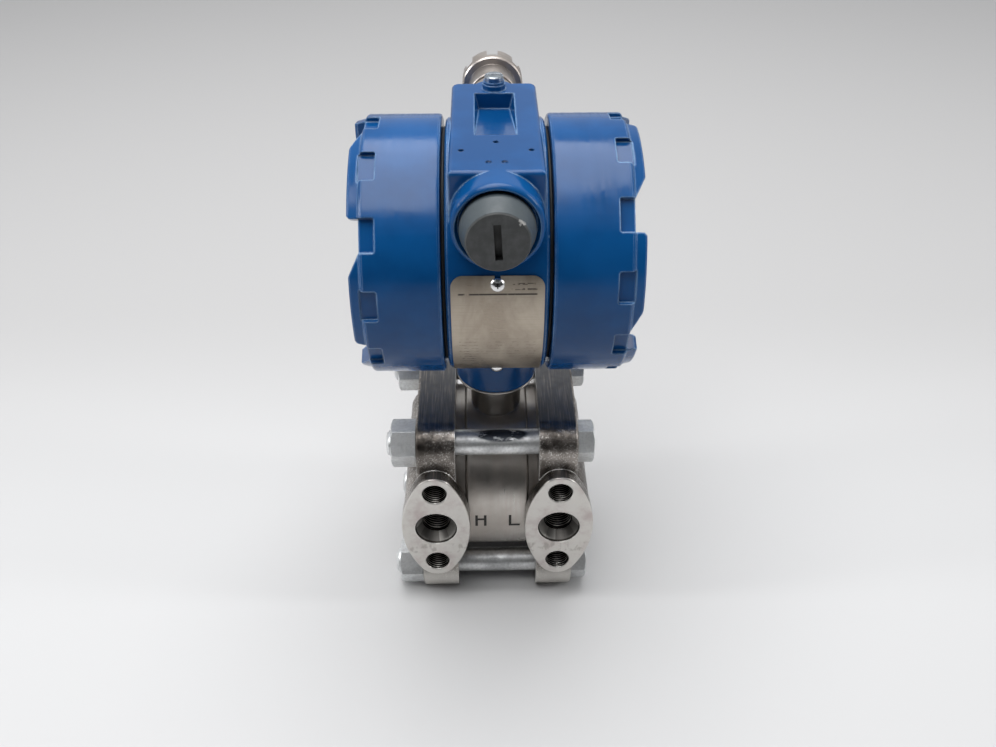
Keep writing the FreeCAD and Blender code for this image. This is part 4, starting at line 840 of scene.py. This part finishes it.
def stampedLetters():
    low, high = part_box("sensor_module")
    radius = (high.y - low.y) / 2
    centre = (0.0, joints["housing_swivel"]["pos_m"][1],
              mounts["high_port"]["pos_m"][2] - stampLook["drop"])
    half, stroke = stampLook["height"] / 2, stampLook["stroke"]
    highLeft, highRight = (stampLook["highAt"] + way * stampLook["width"] / 2 for way in (-1, 1))
    lowLeft, lowRight = (stampLook["lowAt"] + way * stampLook["width"] / 2 for way in (-1, 1))
    strokes = ((highLeft, highLeft + stroke, -half, half),
               (highRight - stroke, highRight, -half, half),
               (highLeft + stroke, highRight - stroke, -stroke / 2, stroke / 2),
               (lowLeft, lowLeft + stroke, -half, half),
               (lowLeft + stroke, lowRight, -half, -half + stroke))
    grids = [strokeGrid(*ends, radius, centre) for ends in strokes]
    material, tree, shader = newFinish("stampShade")
    tone = spread(tree, clouds(tree, place(tree), stampLook["inkScale"], 3), *noiseEnds)
    tree.links.new(blendColour(tree, tone, stampLook["ink"], stampLook["inkLight"]),
                   shader.inputs["Base Color"])
    shader.inputs["Roughness"].default_value = stampLook["rough"]
    addPiece("stampedLetters", grids, material, "base")


stampedLetters()
print("letters done")


# floor, room, lamps and camera

floorLook = {"near": (0.57, 0.57, 0.572), "far": (0.47, 0.467, 0.467), "fade": (-0.02, 0.20),
             "size": 6.0, "rough": 0.75}
roomLook = {"light": (0.80, 0.81, 0.83), "backdrop": (0.66, 0.66, 0.66), "frontShare": 0.04,
            "rear": (-0.35, 0.45), "upper": (0.55, 0.90), "strength": 0.74}
lamps = {"overhead": {"place": (-0.10, 0.05, 1.15), "aim": (0, 0, 0.1), "size": (1.3, 0.78),
                      "power": 15},
         "left": {"place": (-1.3, -0.15, 0.70), "aim": (0, 0, 0.12), "size": (0.16, 0.60),
                  "power": 5},
         "right": {"place": (1.3, -0.15, 0.70), "aim": (0, 0, 0.12), "size": (0.16, 0.60),
                   "power": 5}}
cameraLook = {"place": (-0.0054, -0.36845, 0.3708), "pitch": 37.3, "yaw": 1.04, "lens": 36.14,
              "sensor": 36.0, "nearest": 0.01}


def floorPiece():
    material, tree, shader = newFinish("floorPale")
    _, y, _ = splitPoint(tree, place(tree))
    # painted shade: the floor grows darker towards the back
    back = spread(tree, y, *floorLook["fade"])
    tree.links.new(blendColour(tree, back, floorLook["near"], floorLook["far"]),
                   shader.inputs["Base Color"])
    shader.inputs["Roughness"].default_value = floorLook["rough"]
    half = floorLook["size"] / 2
    mesh = bpy.data.meshes.new("floor")
    corners = [(-half, -half, 0), (half, -half, 0), (half, half, 0), (-half, half, 0)]
    mesh.from_pydata(corners, [], [(0, 1, 2, 3)])
    mesh.materials.append(material)
    floor = bpy.data.objects.new("floor", mesh)
    bpy.context.scene.collection.objects.link(floor)


def worldLight():
    # the room seen in the gloss: bright overhead and behind, dim in front; the backdrop is plain
    world = bpy.data.worlds.new("room")
    world.use_nodes = True
    bpy.context.scene.world = world
    tree = world.node_tree
    background = next(node for node in tree.nodes if node.type == "BACKGROUND")
    _, y, z = splitPoint(tree, put(tree, "ShaderNodeTexCoord").outputs["Generated"])
    bright = calc(tree, "MAXIMUM", spread(tree, y, *roomLook["rear"]),
                  spread(tree, z, *roomLook["upper"]))
    dim = tuple(value * roomLook["frontShare"] for value in roomLook["light"])
    seen = put(tree, "ShaderNodeLightPath").outputs["Is Camera Ray"]
    colour = blendColour(tree, bright, dim, roomLook["light"])
    tree.links.new(blendColour(tree, seen, colour, roomLook["backdrop"]),
                   background.inputs["Color"])
    background.inputs["Strength"].default_value = roomLook["strength"]


def addLamps():
    for name, look in lamps.items():
        lamp = bpy.data.lights.new(name, "AREA")
        lamp.shape = "RECTANGLE"
        lamp.size, lamp.size_y = look["size"]
        lamp.energy = look["power"]
        holder = bpy.data.objects.new(name, lamp)
        holder.location = look["place"]
        aim = Vector(look["aim"]) - Vector(look["place"])
        holder.rotation_euler = aim.to_track_quat("-Z", "Y").to_euler()
        bpy.context.scene.collection.objects.link(holder)


def addCamera():
    camera = bpy.data.cameras.new("camera")
    camera.lens = cameraLook["lens"]
    camera.sensor_width = cameraLook["sensor"]
    camera.clip_start = cameraLook["nearest"]
    holder = bpy.data.objects.new("camera", camera)
    holder.location = cameraLook["place"]
    holder.rotation_euler = (math.radians(90 - cameraLook["pitch"]), 0.0,
                             -math.radians(cameraLook["yaw"]))
    bpy.context.scene.collection.objects.link(holder)
    bpy.context.scene.camera = holder


floorPiece()
worldLight()
addLamps()
addCamera()
bpy.context.scene.view_settings.view_transform = "Standard"
print("stage done")
